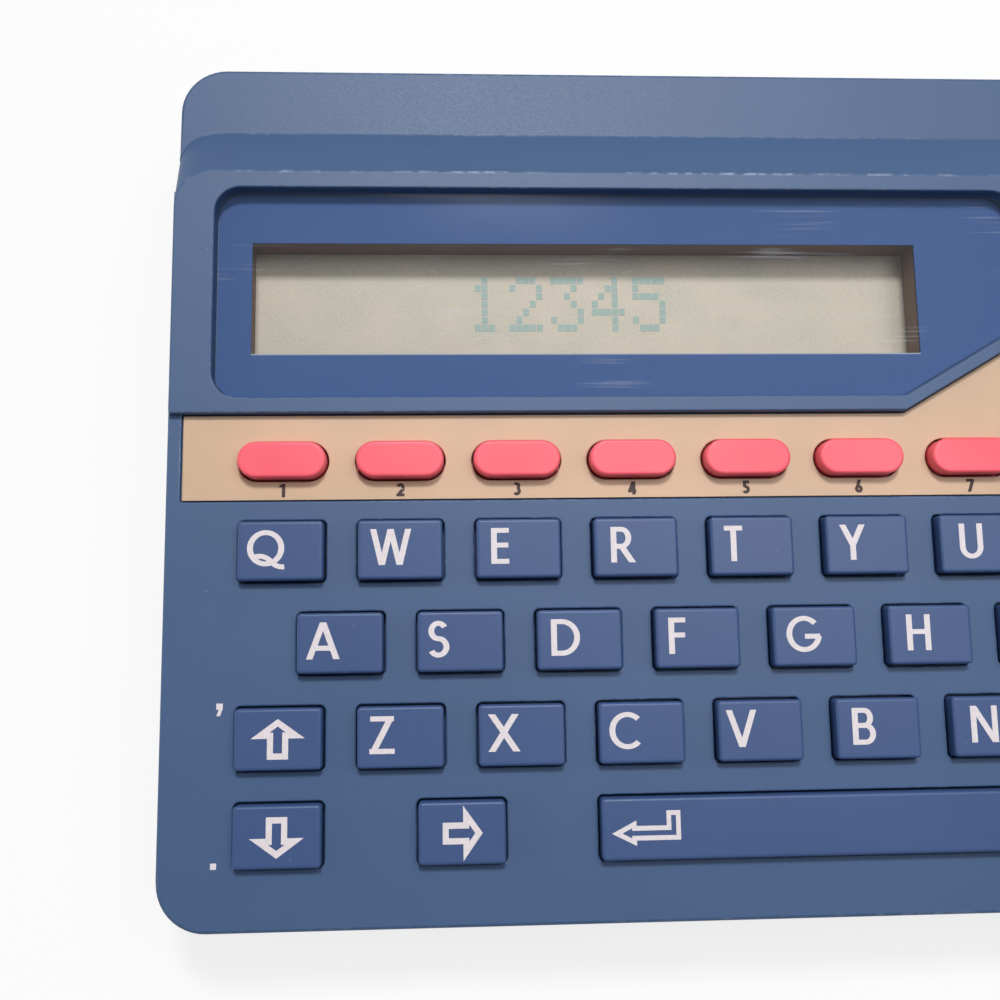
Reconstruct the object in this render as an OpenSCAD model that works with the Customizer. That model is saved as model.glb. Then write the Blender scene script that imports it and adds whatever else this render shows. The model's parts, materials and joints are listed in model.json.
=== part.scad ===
// Handheld electronic dictionary: two moulded shells round a rubber keyboard, a one-line
// display behind a printed window, and two cells in a bay along the back edge.
// Millimetres. +Z is up, +Y points to the back, and the origin is under the middle of the case,
// on the surface that it stands on. The top face leans towards the user by deck_tilt.

/* [Keyboard] */
// Distance between key columns
key_pitch = 12.2; // [11.8:0.1:13.5]
// Distance between key rows
row_pitch = 9.45; // [9.2:0.05:10.5]
// Width of a letter key
key_w = 8.7; // [7.5:0.1:9]
// Depth of a letter key
key_d = 6.1; // [5:0.1:6.6]
// Corner radius of a letter key, seen from above
key_corner_r = 0.4; // [0.3:0.1:1.2]
// Height of a letter key over the deck
key_rise = 1.4; // [1.2:0.1:2.6]
// Rounding along the top edges of a key
key_round = 0.3; // [0.2:0.05:0.8]
// How far a key goes down when it is pressed
key_travel = 0.9; // [0.5:0.1:1.2]
// Gap between a key and the edge of its opening
key_gap = 0.2; // [0.15:0.05:0.35]
// Width of a red function button
pill_w = 9.1; // [8:0.1:10]
// Depth of a red function button
pill_d = 3.8; // [3.2:0.1:4.6]
// Height of a function button over the plate
pill_rise = 1.6; // [1:0.1:2.2]
// Columns that the long enter bar spans
enter_columns = 4; // [2:1:4]

/* [Case] */
// From the outermost key column's middle to the side of the case
side_margin = 12.05; // [11.5:0.05:16]
// From the front row's keys to the front of the case
front_margin = 6.2; // [5.6:0.1:12]
// Corner radius of the case, seen from above
corner_r = 5; // [4:0.5:7]
// Thickness of the side walls
wall = 2; // [1.6:0.1:2.4]
// Thickness of the top face
top_wall = 1.8; // [1.4:0.1:2.2]
// Thickness of the bottom
floor_t = 1.8; // [1.4:0.1:2.4]
// Lean of the top face towards the user, in degrees
deck_tilt = 3.5; // [2:0.25:4.5]
// Height of the line where the two shells meet
split_z = 8; // [7:0.25:9]
// Height of the bottom shell's lip inside the top shell
lip_h = 1.2; // [0.8:0.1:2]
// Thickness of the lip
lip_t = 0.8; // [0.6:0.1:1]
// Clearance round the lip
lip_gap = 0.1; // [0.05:0.05:0.2]

/* [Display housing] */
// Rise of the display housing over the keyboard deck
house_rise = 0.9; // [0.8:0.1:2.6]
// Border of the housing round the window
house_border = 1.8; // [1.4:0.1:3]
// From the window to the ridge at the back of the housing
ridge_border = 1.95; // [1.4:0.05:3]
// Run of the slope behind the ridge
slope_run = 5.75; // [4:0.05:9]
// Drop of the back strip under the keyboard deck
strip_drop = 2.2; // [1:0.1:3]
// Depth of the flat strip along the back edge
strip_d = 7.55; // [6:0.05:12]
// Radius of the housing's two back corners
house_corner_r = 4; // [2:0.5:6]
// How far each side of the housing leans in over the height of the slope
house_lean = 0.25; // [0.1:0.05:0.5]

/* [Window and display] */
// From the side of the case to the window
window_margin = 4.7; // [4:0.1:8]
// Corner radius of the window
window_r = 2.6; // [1:0.1:4]
// Width of the cut at the window's front right corner
window_cut = 14.2; // [8:0.1:18]
// Angle of the window's cut, in degrees
cut_angle = 30; // [20:1:40]
// Thickness of the clear window
window_t = 1.2; // [0.8:0.1:1.6]
// Depth of the window's face under the housing's face
window_sink = 0.8; // [0.4:0.1:1]
// Gap round the window and round the plate
trim_gap = 0.15; // [0.1:0.05:0.3]
// Thickness of the window's printed mask
mask_t = 0.2; // [0.1:0.05:0.3]
// Width of the opening over the display
view_w = 73; // [66:0.1:74]
// Depth of the opening over the display
view_d = 12.5; // [10:0.1:14]
// Printed border to the left of that opening
view_left = 3.6; // [3.2:0.1:5]
// Printed border to the right of that opening
view_right = 10.8; // [9.5:0.1:12]
// Printed border in front of that opening
view_front = 4.9; // [4.5:0.1:6]
// Printed border behind that opening
view_back = 5.4; // [4.5:0.1:6.5]
// Thickness of the ledge that carries the window
ledge_t = 0.8; // [0.6:0.1:1.2]
// Height of the dark frame between ledge and display
frame_t = 3.2; // [2.4:0.1:3.6]
// Width of the dark frame's sides
frame_w = 1.6; // [1.2:0.1:2]
// Gap round the display's opening, from the printed edge to the frame
view_gap = 0.3; // [0.2:0.05:0.4]
// Thickness of the display glass
glass_t = 1.8; // [1.6:0.1:2.2]
// Border of the display glass round its opening, left and right
glass_side = 2.1; // [2:0.1:2.4]
// Clearance round the display glass in its pocket
pocket_gap = 0.5; // [0.3:0.1:0.8]
// Border of the display glass in front of and behind its opening
glass_edge = 2.9; // [2.6:0.1:3.2]
// Height of the rubber connectors between display and board
connector_h = 1.4; // [1.2:0.1:2]
// Width of a rubber connector
connector_w = 1.6; // [1.2:0.1:2]
// From the edge of the glass to a rubber connector
connector_inset = 0.3; // [0.1:0.1:0.6]

/* [Plate] */
// From the first key row to the plate behind it
plate_gap_front = 2.2; // [1.2:0.1:3.5]
// Depth of the plate's strip with the function buttons
plate_strip_d = 9.1; // [7.5:0.1:11]
// From the side of the case to the plate
plate_margin = 1.45; // [1:0.05:3]
// Thickness of the plate
plate_t = 0.5; // [0.3:0.1:0.8]
// Depth of the plate's face under the deck
plate_sink = 0.1; // [0:0.05:0.3]

/* [Rubber mat and board] */
// Thickness of the rubber mat
mat_t = 0.8; // [0.6:0.1:1.2]
// Wall of the collar that stands round each key on the mat
collar_wall = 0.6; // [0.4:0.1:0.7]
// Width of the flange that keeps a key in its opening
flange_w = 0.5; // [0.4:0.05:0.6]
// Thickness of the key's flange
flange_t = 1; // [0.7:0.1:1.2]
// Radius of the plunger under a key
plunger_r = 1.5; // [1:0.1:1.7]
// Air between a plunger and the board beyond its travel
contact_air = 0.05; // [0.05:0.05:0.2]
// Thickness of the circuit board
board_t = 1.2; // [0.8:0.1:1.6]
// Gap between the board and the shells
board_gap = 0.5; // [0.3:0.1:1]
// Border of the mat and the board round the outermost keys
mat_border = 1.6; // [1:0.1:2]
// Radius of a boss that holds the board
board_boss_r = 2.3; // [2:0.1:2.5]
// Side of the processor's package
processor_w = 14; // [8:0.5:16]
// Length of a memory chip's package
memory_w = 18; // [12:0.5:20]
// Width of a memory chip's package
memory_d = 8.4; // [5:0.2:9]
// Height of the chips' packages
chip_h = 2; // [1:0.1:2.4]
// Radius of the sounder
sounder_r = 6; // [4:0.5:8]
// Height of the sounder
sounder_h = 1.6; // [1:0.1:2.2]
// Radius of the clock crystal's can
crystal_r = 1.5; // [1:0.1:1.6]
// Length of the clock crystal's can
crystal_l = 7.5; // [5:0.5:8]
// Radius of the upright capacitor
capacitor_r = 2.5; // [1.5:0.1:3]
// Height of the upright capacitor
capacitor_h = 3.6; // [2:0.1:3.8]
// Length of a small part that is soldered flat
small_part_w = 2; // [1:0.1:2.4]
// Small parts in their row
small_parts = 6; // [3:1:6]

/* [Cells] */
// Diameter of a cell
cell_d = 10.5; // [10:0.1:11.5]
// Length of a cell
cell_l = 44.5; // [40:0.5:46]
// Diameter of a cell's button
nub_d = 3.8; // [3:0.1:5.5]
// Length of a cell's button
nub_l = 0.9; // [0.8:0.1:1.5]
// Number of cells end to end
cell_count = 2; // [1:1:2]
// Clearance round the cells
cell_gap = 0.2; // [0.15:0.05:0.4]
// Thickness of the bay's walls and roof
bay_wall = 1; // [0.8:0.1:1.4]
// Room for the contact at each end of the row of cells
contact_room = 4; // [3:0.5:6]
// Thickness of the contacts' sheet metal
contact_t = 0.4; // [0.3:0.1:0.6]
// Width of the contacts' tails
tail_w = 2.4; // [1.6:0.1:3]
// Reach of a tail in front of the bay
tail_reach = 1; // [0.8:0.1:1.4]
// Clearance round a tail in the bay's front wall
tail_gap = 0.2; // [0.1:0.05:0.3]
// Wire of the contact spring
spring_wire = 0.6; // [0.4:0.1:0.8]
// Turns of the contact spring
spring_turns = 3; // [2:1:4]
// Width of the cell door
door_w = 101; // [99:0.5:108]
// Width of the door's tongues
tongue_w = 1.2; // [0.8:0.1:2]
// Thickness of the door's tongues
tongue_t = 0.8; // [0.6:0.1:1]
// Gap round the door
door_gap = 0.15; // [0.1:0.05:0.3]
// Number of grip grooves in the door
grip_grooves = 5; // [3:1:6]
// Length of a grip groove
grip_w = 24; // [12:1:40]
// Width of a grip groove
grip_d = 0.7; // [0.4:0.1:0.9]
// Distance between grip grooves
grip_pitch = 1.5; // [1.2:0.1:1.8]
// Depth of a grip groove
grip_depth = 0.4; // [0.2:0.1:0.6]

/* [Feet and screws] */
// Height of a rubber foot under the case
foot_h = 0.8; // [0.6:0.1:1.6]
// Radius of a rubber foot
foot_r = 4; // [3:0.5:5]
// Depth of the recess that holds a foot
foot_sink = 0.6; // [0.4:0.1:0.9]
// Clearance round a foot in its recess
foot_gap = 0.1; // [0.05:0.05:0.2]
// Wall round a foot's recess
foot_rim = 1; // [0.8:0.1:1.5]
// From the case's side to the middle of a foot
foot_side = 16; // [14:0.5:22]
// From the case's front or the bay to the middle of a foot
foot_edge = 9; // [8:0.5:12]
// Radius of a screw's shank
screw_r = 1.15; // [0.9:0.05:1.3]
// Length of a screw's shank
screw_l = 5.2; // [4.6:0.1:5.4]
// Radius of a screw's head
head_r = 2; // [1.7:0.1:2.2]
// Height of a screw's head
head_h = 1.3; // [1:0.1:1.6]
// Clearance round a screw's head and shank
screw_gap = 0.2; // [0.1:0.05:0.3]
// Length of the cross recess in a screw's head
recess_l = 2.2; // [1.6:0.1:2.6]
// Width of the cross recess
recess_w = 0.5; // [0.3:0.1:0.7]
// Depth of the cross recess
recess_h = 0.6; // [0.4:0.1:0.9]
// Radius of a boss that holds a case screw
boss_r = 2.8; // [2.6:0.1:3]
// From the case's sides to the middle of a front case screw
screw_inset = 4.4; // [4.2:0.1:4.6]
// From the cell bay to the middle of a back case screw
bay_screw_gap = 8; // [6:0.5:10]
// Length of thread that holds in the top shell
screw_bite = 2.9; // [2:0.1:3.2]

/* [Hidden] */
$fn = 48;
far = 300;
// Keeps a cutting shape clear of a wall that it would only touch
hair = 0.02;
// Smallest corner radius of the case where it is taken in
least_corner = 0.5;
COLUMNS = 10;
ROWS = 5;
TOP_ROW = "qwertyuiop";
HOME_ROW = "asdfghjkl";
LOW_ROW = "zxcvbnm";

// Plan of the case, from front to back and from side to side
window_w = view_left + view_w + view_right;
window_d = view_front + view_d + view_back;
body_w = (COLUMNS - 1) * key_pitch + 2 * side_margin;
rows_d = (ROWS - 2) * row_pitch + key_d;
plate_from_front = front_margin + rows_d + plate_gap_front;
step_from_front = plate_from_front + plate_strip_d + trim_gap;
foot_line_from_front = step_from_front + house_border + window_d + ridge_border + slope_run;
body_d = foot_line_from_front + strip_d;
front_y = -body_d / 2;
side_x = body_w / 2;
plate_y = front_y + plate_from_front;
step_y = front_y + step_from_front;
window_y = step_y + house_border;
rim_y = window_y + window_d;
ridge_y = rim_y + ridge_border;
foot_line_y = ridge_y + slope_run;
first_row_y = front_y + front_margin + key_d / 2;

// Window, its cut corner, and the housing's edge round it
window_x = -side_x + window_margin;
window_end_x = window_x + window_w;
cut_x = window_end_x - window_cut;
house_end_x = window_end_x + house_border;
house_cut_x = cut_x + house_border * tan(cut_angle / 2);
house_cut_y = step_y + (house_end_x - house_cut_x) * tan(cut_angle);
view_x = window_x + view_left + view_w / 2;
view_y = window_y + view_front + view_d / 2;

// Levels measured square to the deck
house_z = house_rise;
strip_z = -strip_drop;
window_z = house_z - window_sink;
mask_z = window_z - window_t;
pocket_z = mask_z - mask_t;
ledge_z = pocket_z - ledge_t;
frame_z = ledge_z - frame_t;
glass_z = frame_z - glass_t;
board_z = glass_z - connector_h;
board_low_z = board_z - board_t;
plate_z = -plate_sink;
plate_low_z = plate_z - plate_t;
mat_z = board_z + mat_t;
flange_top_z = -top_wall;
flange_low_z = flange_top_z - flange_t;
collar_z = flange_low_z - key_travel - contact_air;
plunger_z = board_z + key_travel + contact_air;

// Levels measured straight up: the cell bay sets the height of the case
floor_z = foot_h + floor_t;
cell_z = floor_z + cell_gap + cell_d / 2;
bay_roof_z = cell_z + cell_d / 2 + cell_gap;
bay_top_z = bay_roof_z + bay_wall;
cell_y = body_d / 2 - wall - cell_gap - cell_d / 2;
bay_front_y = cell_y - cell_d / 2 - cell_gap;
bay_w = cell_count * cell_l + 2 * contact_room;
bay_rest_y = bay_front_y - bay_wall;
tail_y = bay_rest_y - tail_reach;
deck_z = bay_top_z + board_gap + (strip_drop + top_wall) / cos(deck_tilt)
    - bay_rest_y * tan(deck_tilt);
// The contacts' tails end under the board
board_under_z = deck_z + board_low_z / cos(deck_tilt) + (tail_y - contact_t) * tan(deck_tilt);
tail_z = min(cell_z, board_under_z - tail_gap - tail_w / 2);

// Case screws stand upright, and board screws stand square to the deck
board_screw_columns = 3.75;
BACK_SCREW_X = bay_w / 2 + bay_screw_gap;
CASE_SCREWS = [
    [-side_x + screw_inset, front_y + screw_inset],
    [side_x - screw_inset, front_y + screw_inset],
    [-BACK_SCREW_X, cell_y],
    [BACK_SCREW_X, cell_y]
];
seat_z = split_z + screw_bite - screw_l;
view_end_x = view_x + view_w / 2;
board_screw_x = key_pitch * board_screw_columns;
BOARD_SCREWS = [
    [-board_screw_x, first_row_y],
    [board_screw_x, first_row_y],
    [view_end_x + key_pitch, view_y],
    [view_end_x + key_pitch * 3, view_y]
];

// Outlines of the mat and the board
board_x = (COLUMNS - 1) / 2 * key_pitch + key_w / 2 + flange_w + mat_border;
board_front_y = first_row_y - key_d / 2 - flange_w - mat_border;
board_back_y = bay_rest_y - board_gap + board_low_z * tan(deck_tilt);
mat_back_y = first_row_y + (ROWS - 1) * row_pitch + pill_d / 2 + flange_w + mat_border;

// Places of the parts under the board, in columns and rows of keys from the middle of the deck
PROCESSOR_AT = [-1.5, -0.5];
MEMORY_AT = [[1.2, -0.5], [1.2, -2]];
SOUNDER_AT = [-3.3, -1];
CRYSTAL_AT = [-2.8, 1];
CAPACITOR_AT = [3.1, 0];
SMALL_PARTS_AT = [-0.6, 0.8];
small_part_step = 0.3;

// Feet stand clear of the door
FEET = [for (sx = [-1, 1], y = [front_y + foot_edge, bay_rest_y - foot_edge])
    [sx * (side_x - foot_side), y]];

// Keys: name, column, row counted from the front, width, and whether it is a red pill
letter_row = function (letters, col, row)
    [for (i = [0 : len(letters) - 1]) [str("key_", letters[i]), col + i, row, key_w, false]];
KEYS = concat(
    [for (i = [0 : COLUMNS - 1]) [str("function_button_", i + 1), i, ROWS - 1, pill_w, true]],
    letter_row(TOP_ROW, 0, 3),
    letter_row(HOME_ROW, 0.5, 2),
    [["up_arrow_key", 0, 1, key_w, false]],
    letter_row(LOW_ROW, 1, 1),
    [["question_key", 8, 1, key_w, false], ["star_key", 9, 1, key_w, false]],
    [["down_arrow_key", 0, 0, key_w, false], ["right_arrow_key", 1.5, 0, key_w, false]],
    [["enter_key", 4.5, 0, (enter_columns - 1) * key_pitch + key_w, false]],
    [["left_arrow_key", 7.5, 0, key_w, false], ["space_key", 9, 0, key_w, false]]
);

function key_x(k) = (k[1] - (COLUMNS - 1) / 2) * key_pitch;
function key_y(k) = first_row_y + k[2] * row_pitch;
function key_depth(k) = k[4] ? pill_d : key_d;

// Puts a piece that was drawn level with the deck into its place
module on_deck() {
    translate([0, 0, deck_z]) rotate([deck_tilt, 0, 0]) children();
}

module at_key(k) {
    translate([key_x(k), key_y(k), 0]) children();
}

module round_rect(w, d, r) {
    square([w - 2 * r, d], center = true);
    square([w, d - 2 * r], center = true);
    for (sx = [-1, 1], sy = [-1, 1])
        translate([sx * (w / 2 - r), sy * (d / 2 - r)]) circle(r);
}

module pill(w, d) {
    square([w - d, d], center = true);
    for (sx = [-1, 1]) translate([sx * (w - d) / 2, 0]) circle(d / 2);
}

module key_outline(k, grow) {
    if (k[4]) pill(k[3] + 2 * grow, pill_d + 2 * grow);
    else round_rect(k[3] + 2 * grow, key_d + 2 * grow, key_corner_r + max(grow, 0));
}

module prism(low, high) {
    translate([0, 0, low]) linear_extrude(high - low) children();
}

// The case seen from above, taken in by inset
module case_plan(inset) {
    round_rect(body_w - 2 * inset, body_d - 2 * inset, max(corner_r - inset, least_corner));
}

// Window outline, grown outwards by grow, with its cut corner
module window_outline(grow) {
    r = window_r + grow;
    low = window_y + window_r;
    high = rim_y - window_r;
    rise = (window_cut - window_r) * tan(cut_angle);
    hull() {
        translate([window_x + window_r, low]) circle(r, $fn = 32);
        translate([window_x + window_r, high]) circle(r, $fn = 32);
        translate([window_end_x - window_r, high]) circle(r, $fn = 32);
        translate([window_end_x - window_r, low + rise]) circle(r, $fn = 32);
        translate([cut_x, low]) circle(r, $fn = 32);
    }
}

// Housing seen from above: full width at the back, cut away in front of it on the right
module house_plan() {
    polygon([
        [-far, step_y], [house_cut_x, step_y], [house_end_x, house_cut_y],
        [house_end_x, rim_y], [far, rim_y], [far, far], [-far, far]
    ]);
}

// Outline of the housing, drawn in once from the foot of the slope to the ridge and once more above
module house_outline(times) {
    back = foot_line_y - times * slope_run;
    translate([0, (back - far) / 2])
        round_rect(body_w + hair - 2 * times * house_lean, back + far, house_corner_r, $fn = 32);
}

// Housing whose back slope goes round its two back corners
module house() {
    slope_h = house_z - strip_z;
    intersection() {
        prism(-far, house_z) house_plan();
        hull() {
            prism(-far, strip_z) house_outline(0);
            prism(house_z + slope_h - hair, house_z + slope_h) house_outline(2);
        }
    }
}

// Everything under the three top faces
module under_decks() {
    prism(-far, 0) translate([-far, -far]) square([2 * far, far + rim_y]);
    prism(-far, strip_z) square(2 * far, center = true);
    house();
}

// Plate outline, taken in by inset from the edges that it lies against
module plate_outline(inset) {
    m = plate_margin + inset;
    slide = inset * tan(cut_angle / 2);
    polygon([
        [-side_x + m, plate_y + inset], [side_x - m, plate_y + inset],
        [side_x - m, rim_y - inset], [house_end_x + inset, rim_y - inset],
        [house_end_x + inset, house_cut_y - slide], [house_cut_x + slide, step_y - inset],
        [-side_x + m, step_y - inset]
    ]);
}

module cylinders_at(places, low, high, r) {
    for (p = places) translate([p[0], p[1], low]) cylinder(r = r, h = high - low);
}

// The opening over the display, grown to the sides by side and to the front and back by edge
module round_view(side, edge) {
    translate([view_x, view_y]) square([view_w + 2 * side, view_d + 2 * edge], center = true);
}

module top_case_shell() {
    difference() {
        intersection() {
            prism(split_z, far) case_plan(0);
            on_deck() under_decks();
        }
        // rebate for the bottom shell's lip
        prism(split_z - 1, split_z + lip_h + lip_gap) case_plan(wall - lip_t - lip_gap);
        // the hollow under the keyboard deck, the back strip and the display
        intersection() {
            prism(split_z - 1, far) case_plan(wall);
            on_deck() {
                difference() {
                    prism(-far, -top_wall) translate([-far, -far])
                        square([2 * far, far + bay_rest_y - bay_wall]);
                    // bed that the display's frame hangs under
                    prism(ledge_z, far) window_outline(0);
                }
                prism(-far, strip_z - top_wall) square(2 * far, center = true);
                prism(-far, ledge_z)
                    round_view(glass_side + pocket_gap, glass_edge + pocket_gap);
            }
        }
    }
}

// Bosses for the case screws end under the strip, and those for the board end at the deck
module top_bosses() {
    intersection() {
        cylinders_at(CASE_SCREWS, split_z, far, boss_r);
        on_deck() prism(-far, strip_z) square(2 * far, center = true);
    }
    on_deck() cylinders_at(BOARD_SCREWS, board_z, -top_wall / 2, board_boss_r);
}

module top_case() {
    color("#4a6d9c") difference() {
        union() {
            top_case_shell();
            intersection() {
                top_bosses();
                prism(split_z, far) case_plan(wall / 2);
            }
        }
        cylinders_at(CASE_SCREWS, split_z - 1, split_z + screw_bite + screw_gap, screw_r);
        on_deck() {
            cylinders_at(BOARD_SCREWS, board_z - 1, board_low_z + screw_l + screw_gap, screw_r);
            prism(pocket_z, far) window_outline(trim_gap);
            prism(ledge_z - 1, far) round_view(view_gap, view_gap);
            prism(plate_low_z, far) plate_outline(0);
            for (k = KEYS) at_key(k) prism(-top_wall - 1, far) key_outline(k, key_gap);
        }
    }
}

// Opening in the floor for the door: the tongues lie over its edges
module door_plan(grow) {
    back = body_d / 2 + (grow > 0 ? 1 : 0);
    low = bay_front_y - grow;
    translate([-door_w / 2 - grow, low]) square([door_w + 2 * grow, back - low]);
}

module bay_box(grow, low, high) {
    translate([-bay_w / 2 - grow, bay_front_y - grow, low])
        cube([bay_w + 2 * grow, body_d / 2 - wall - bay_front_y + grow, high - low]);
}

module bottom_case() {
    color("#3f6091") difference() {
        union() {
            difference() {
                prism(foot_h, split_z) case_plan(0);
                prism(floor_z, far) case_plan(wall);
            }
            difference() {
                prism(floor_z, split_z + lip_h) case_plan(wall - lip_t);
                prism(floor_z - 1, far) case_plan(wall);
                // the lip stops short of the top shell's bosses
                cylinders_at(CASE_SCREWS, split_z, far, boss_r + lip_gap);
            }
            intersection() {
                union() {
                    bay_box(bay_wall, floor_z, bay_top_z);
                    cylinders_at(CASE_SCREWS, foot_h, split_z, boss_r);
                    cylinders_at(FEET, foot_h, floor_z + foot_sink, foot_r + foot_rim);
                }
                prism(foot_h, far) case_plan(wall - lip_t);
            }
        }
        bay_box(0, floor_z - 1, bay_roof_z);
        // door opening, with a ledge under the tongues
        prism(foot_h - 1, floor_z - tongue_t) door_plan(door_gap);
        prism(floor_z - tongue_t - door_gap, floor_z + door_gap) door_plan(tongue_w + door_gap);
        cylinders_at(CASE_SCREWS, 0, far, screw_r + screw_gap);
        cylinders_at(CASE_SCREWS, 0, seat_z, head_r + screw_gap);
        cylinders_at(FEET, 0, foot_h + foot_sink, foot_r + foot_gap);
        // slots where the contacts' tails reach the board
        for (sx = [-1, 1]) translate([sx * (bay_w - contact_t) / 2, bay_front_y - bay_wall / 2, tail_z])
            cube([contact_t + 2 * tail_gap, bay_wall + 1, tail_w + 2 * tail_gap], center = true);
    }
}

// The door's tongues run in grooves over the edges of its opening
module battery_door() {
    color("#3f6091") difference() {
        union() {
            prism(foot_h, floor_z) door_plan(0);
            prism(floor_z - tongue_t, floor_z) intersection() {
                door_plan(tongue_w);
                translate([-far, -far]) square([2 * far, far + body_d / 2 - corner_r]);
            }
        }
        for (i = [0 : grip_grooves - 1])
            translate([0, cell_y + (i - (grip_grooves - 1) / 2) * grip_pitch, foot_h])
                cube([grip_w, grip_d, 2 * grip_depth], center = true);
    }
}

module display_window() {
    color("#dfe8ee", 0.35) on_deck() prism(mask_z, window_z) window_outline(0);
}

module window_mask() {
    color("#3a62a8") on_deck() difference() {
        prism(pocket_z, mask_z) window_outline(0);
        prism(pocket_z - 1, mask_z + 1) round_view(0, 0);
    }
}

module lcd_frame() {
    color("#5b4a42") on_deck() difference() {
        prism(frame_z, ledge_z) round_view(frame_w, frame_w);
        prism(frame_z - 1, ledge_z + 1) round_view(view_gap, view_gap);
    }
}

module lcd_glass() {
    color("#b9b8a0") on_deck() prism(glass_z, frame_z) round_view(glass_side, glass_edge);
}

module lcd_connectors() {
    reach = view_d / 2 + glass_edge - connector_w / 2 - connector_inset;
    color("#e8a0a0") on_deck() for (sy = [-1, 1])
        translate([view_x, view_y + sy * reach, 0]) prism(board_z, glass_z)
            square([view_w, connector_w], center = true);
}

module function_plate() {
    color("#cdb291") on_deck() difference() {
        prism(plate_low_z, plate_z) plate_outline(trim_gap);
        for (k = KEYS) if (k[4]) at_key(k) prism(plate_low_z - 1, 1) key_outline(k, key_gap);
    }
}

module board_outline(back_y) {
    translate([-board_x, board_front_y]) square([2 * board_x, back_y - board_front_y]);
}

// Collars share their outlines with the flanges of the keys over them
module key_mat() {
    inner = flange_w - collar_wall;
    color("#5d6470") on_deck() difference() {
        union() {
            prism(board_z, mat_z) board_outline(mat_back_y);
            for (k = KEYS) at_key(k) prism(mat_z, collar_z) key_outline(k, flange_w);
        }
        for (k = KEYS) at_key(k) prism(board_z - 1, collar_z + 1) key_outline(k, inner);
        cylinders_at(BOARD_SCREWS, board_z - 1, 0, board_boss_r + screw_gap);
        corner_cuts();
    }
}

// Room for the upright bosses of the case beside the mat and the board
module corner_cuts() {
    for (p = CASE_SCREWS) translate([p[0], p[1] / cos(deck_tilt), -far])
        cylinder(r = boss_r + 2 * board_gap, h = 2 * far);
}

module main_board() {
    color("#2f6b45") on_deck() difference() {
        prism(board_low_z, board_z) board_outline(board_back_y);
        cylinders_at(BOARD_SCREWS, board_low_z - 1, board_z + 1, screw_r + screw_gap);
        corner_cuts();
    }
}

// A part under the board: its place is counted in key columns and rows from the board's middle
module under_board(place) {
    translate([place[0] * key_pitch, place[1] * row_pitch, board_low_z]) mirror([0, 0, 1]) children();
}

module package(w, d, h) {
    translate([-w / 2, -d / 2, 0]) cube([w, d, h]);
}

module board_parts() {
    color("#26262a") on_deck() {
        under_board(PROCESSOR_AT) package(processor_w, processor_w, chip_h);
        for (place = MEMORY_AT) under_board(place) package(memory_w, memory_d, chip_h);
        under_board(SOUNDER_AT) cylinder(r = sounder_r, h = sounder_h);
        under_board(CRYSTAL_AT) translate([0, 0, crystal_r]) rotate([90, 0, 0])
            cylinder(r = crystal_r, h = crystal_l, center = true);
        under_board(CAPACITOR_AT) cylinder(r = capacitor_r, h = capacitor_h);
        for (i = [0 : small_parts - 1]) under_board(SMALL_PARTS_AT + [i * small_part_step, 0])
            package(small_part_w, small_part_w / 2, small_part_w / 2);
    }
}

// A cell with its button end towards +X
module cell() {
    rotate([0, 90, 0]) {
        cylinder(d = cell_d, h = cell_l - nub_l);
        cylinder(d = nub_d, h = cell_l);
    }
}

module battery_cells() {
    color("#8a8f96") for (i = [0 : cell_count - 1])
        translate([(i - cell_count / 2) * cell_l, cell_y, cell_z]) cell();
}

// One contact: a plate on the bay's end wall, with an arm to a tail that passes the front wall
module contact_plate(sx) {
    plate_w = cell_d * 0.8;
    end_x = sx * (bay_w / 2 - contact_t / 2);
    arm_low = cell_y - plate_w / 2;
    translate([end_x, cell_y, cell_z]) cube([contact_t, plate_w, plate_w], center = true);
    translate([end_x, (arm_low + tail_y) / 2, tail_z])
        cube([contact_t, arm_low - tail_y + contact_t, tail_w], center = true);
}

// Conical coil spring along +X, as one tube
module contact_spring() {
    sides = 6;
    per_turn = 16;
    steps = spring_turns * per_turn;
    length = contact_room - contact_t - spring_wire;
    wide = cell_d * 0.34;
    narrow = cell_d * 0.2;
    r = function (t) wide + (narrow - wide) * t;
    ring = function (i) let (t = i / steps, a = 360 * i / per_turn)
        [for (j = [0 : sides - 1]) let (b = 360 * j / sides, q = r(t) + spring_wire / 2 * cos(b))
            [length * t + spring_wire / 2 * sin(b), q * cos(a), q * sin(a)]];
    points = [for (i = [0 : steps]) each ring(i)];
    walls = [for (i = [0 : steps - 1], j = [0 : sides - 1])
        let (a = i * sides + j, b = i * sides + (j + 1) % sides)
        each [[a, b, b + sides], [a, b + sides, a + sides]]];
    start = [for (j = [1 : sides - 2]) [0, j + 1, j]];
    last = steps * sides;
    end = [for (j = [1 : sides - 2]) [last, last + j, last + j + 1]];
    polyhedron(points, concat(start, walls, end));
}

module battery_contacts() {
    color("#c9ccd0") {
        for (sx = [-1, 1]) contact_plate(sx);
        translate([-bay_w / 2 + contact_t + spring_wire / 2, cell_y, cell_z]) contact_spring();
        nub = contact_room - contact_t - cell_gap;
        translate([bay_w / 2 - contact_t, cell_y, cell_z]) rotate([0, -90, 0])
            cylinder(r1 = cell_d * 0.16, r2 = cell_d * 0.12, h = nub);
    }
}

// A screw whose head's underside is at z = 0 and whose shank points up
module screw() {
    cylinder(r = screw_r, h = screw_l);
    difference() {
        translate([0, 0, -head_h]) cylinder(r = head_r, h = head_h);
        for (a = [0, 90]) rotate(a) translate([0, 0, -head_h])
            cube([recess_l, recess_w, 2 * recess_h], center = true);
    }
}

module screws() {
    color("#9a9da2") {
        for (p = CASE_SCREWS) translate([p[0], p[1], seat_z]) screw();
        on_deck() for (p = BOARD_SCREWS) translate([p[0], p[1], board_low_z]) screw();
    }
}

module rubber_feet() {
    color("#2b2c30") for (p = FEET) translate([p[0], p[1], 0])
        cylinder(r = foot_r, h = foot_h + foot_sink);
}

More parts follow.
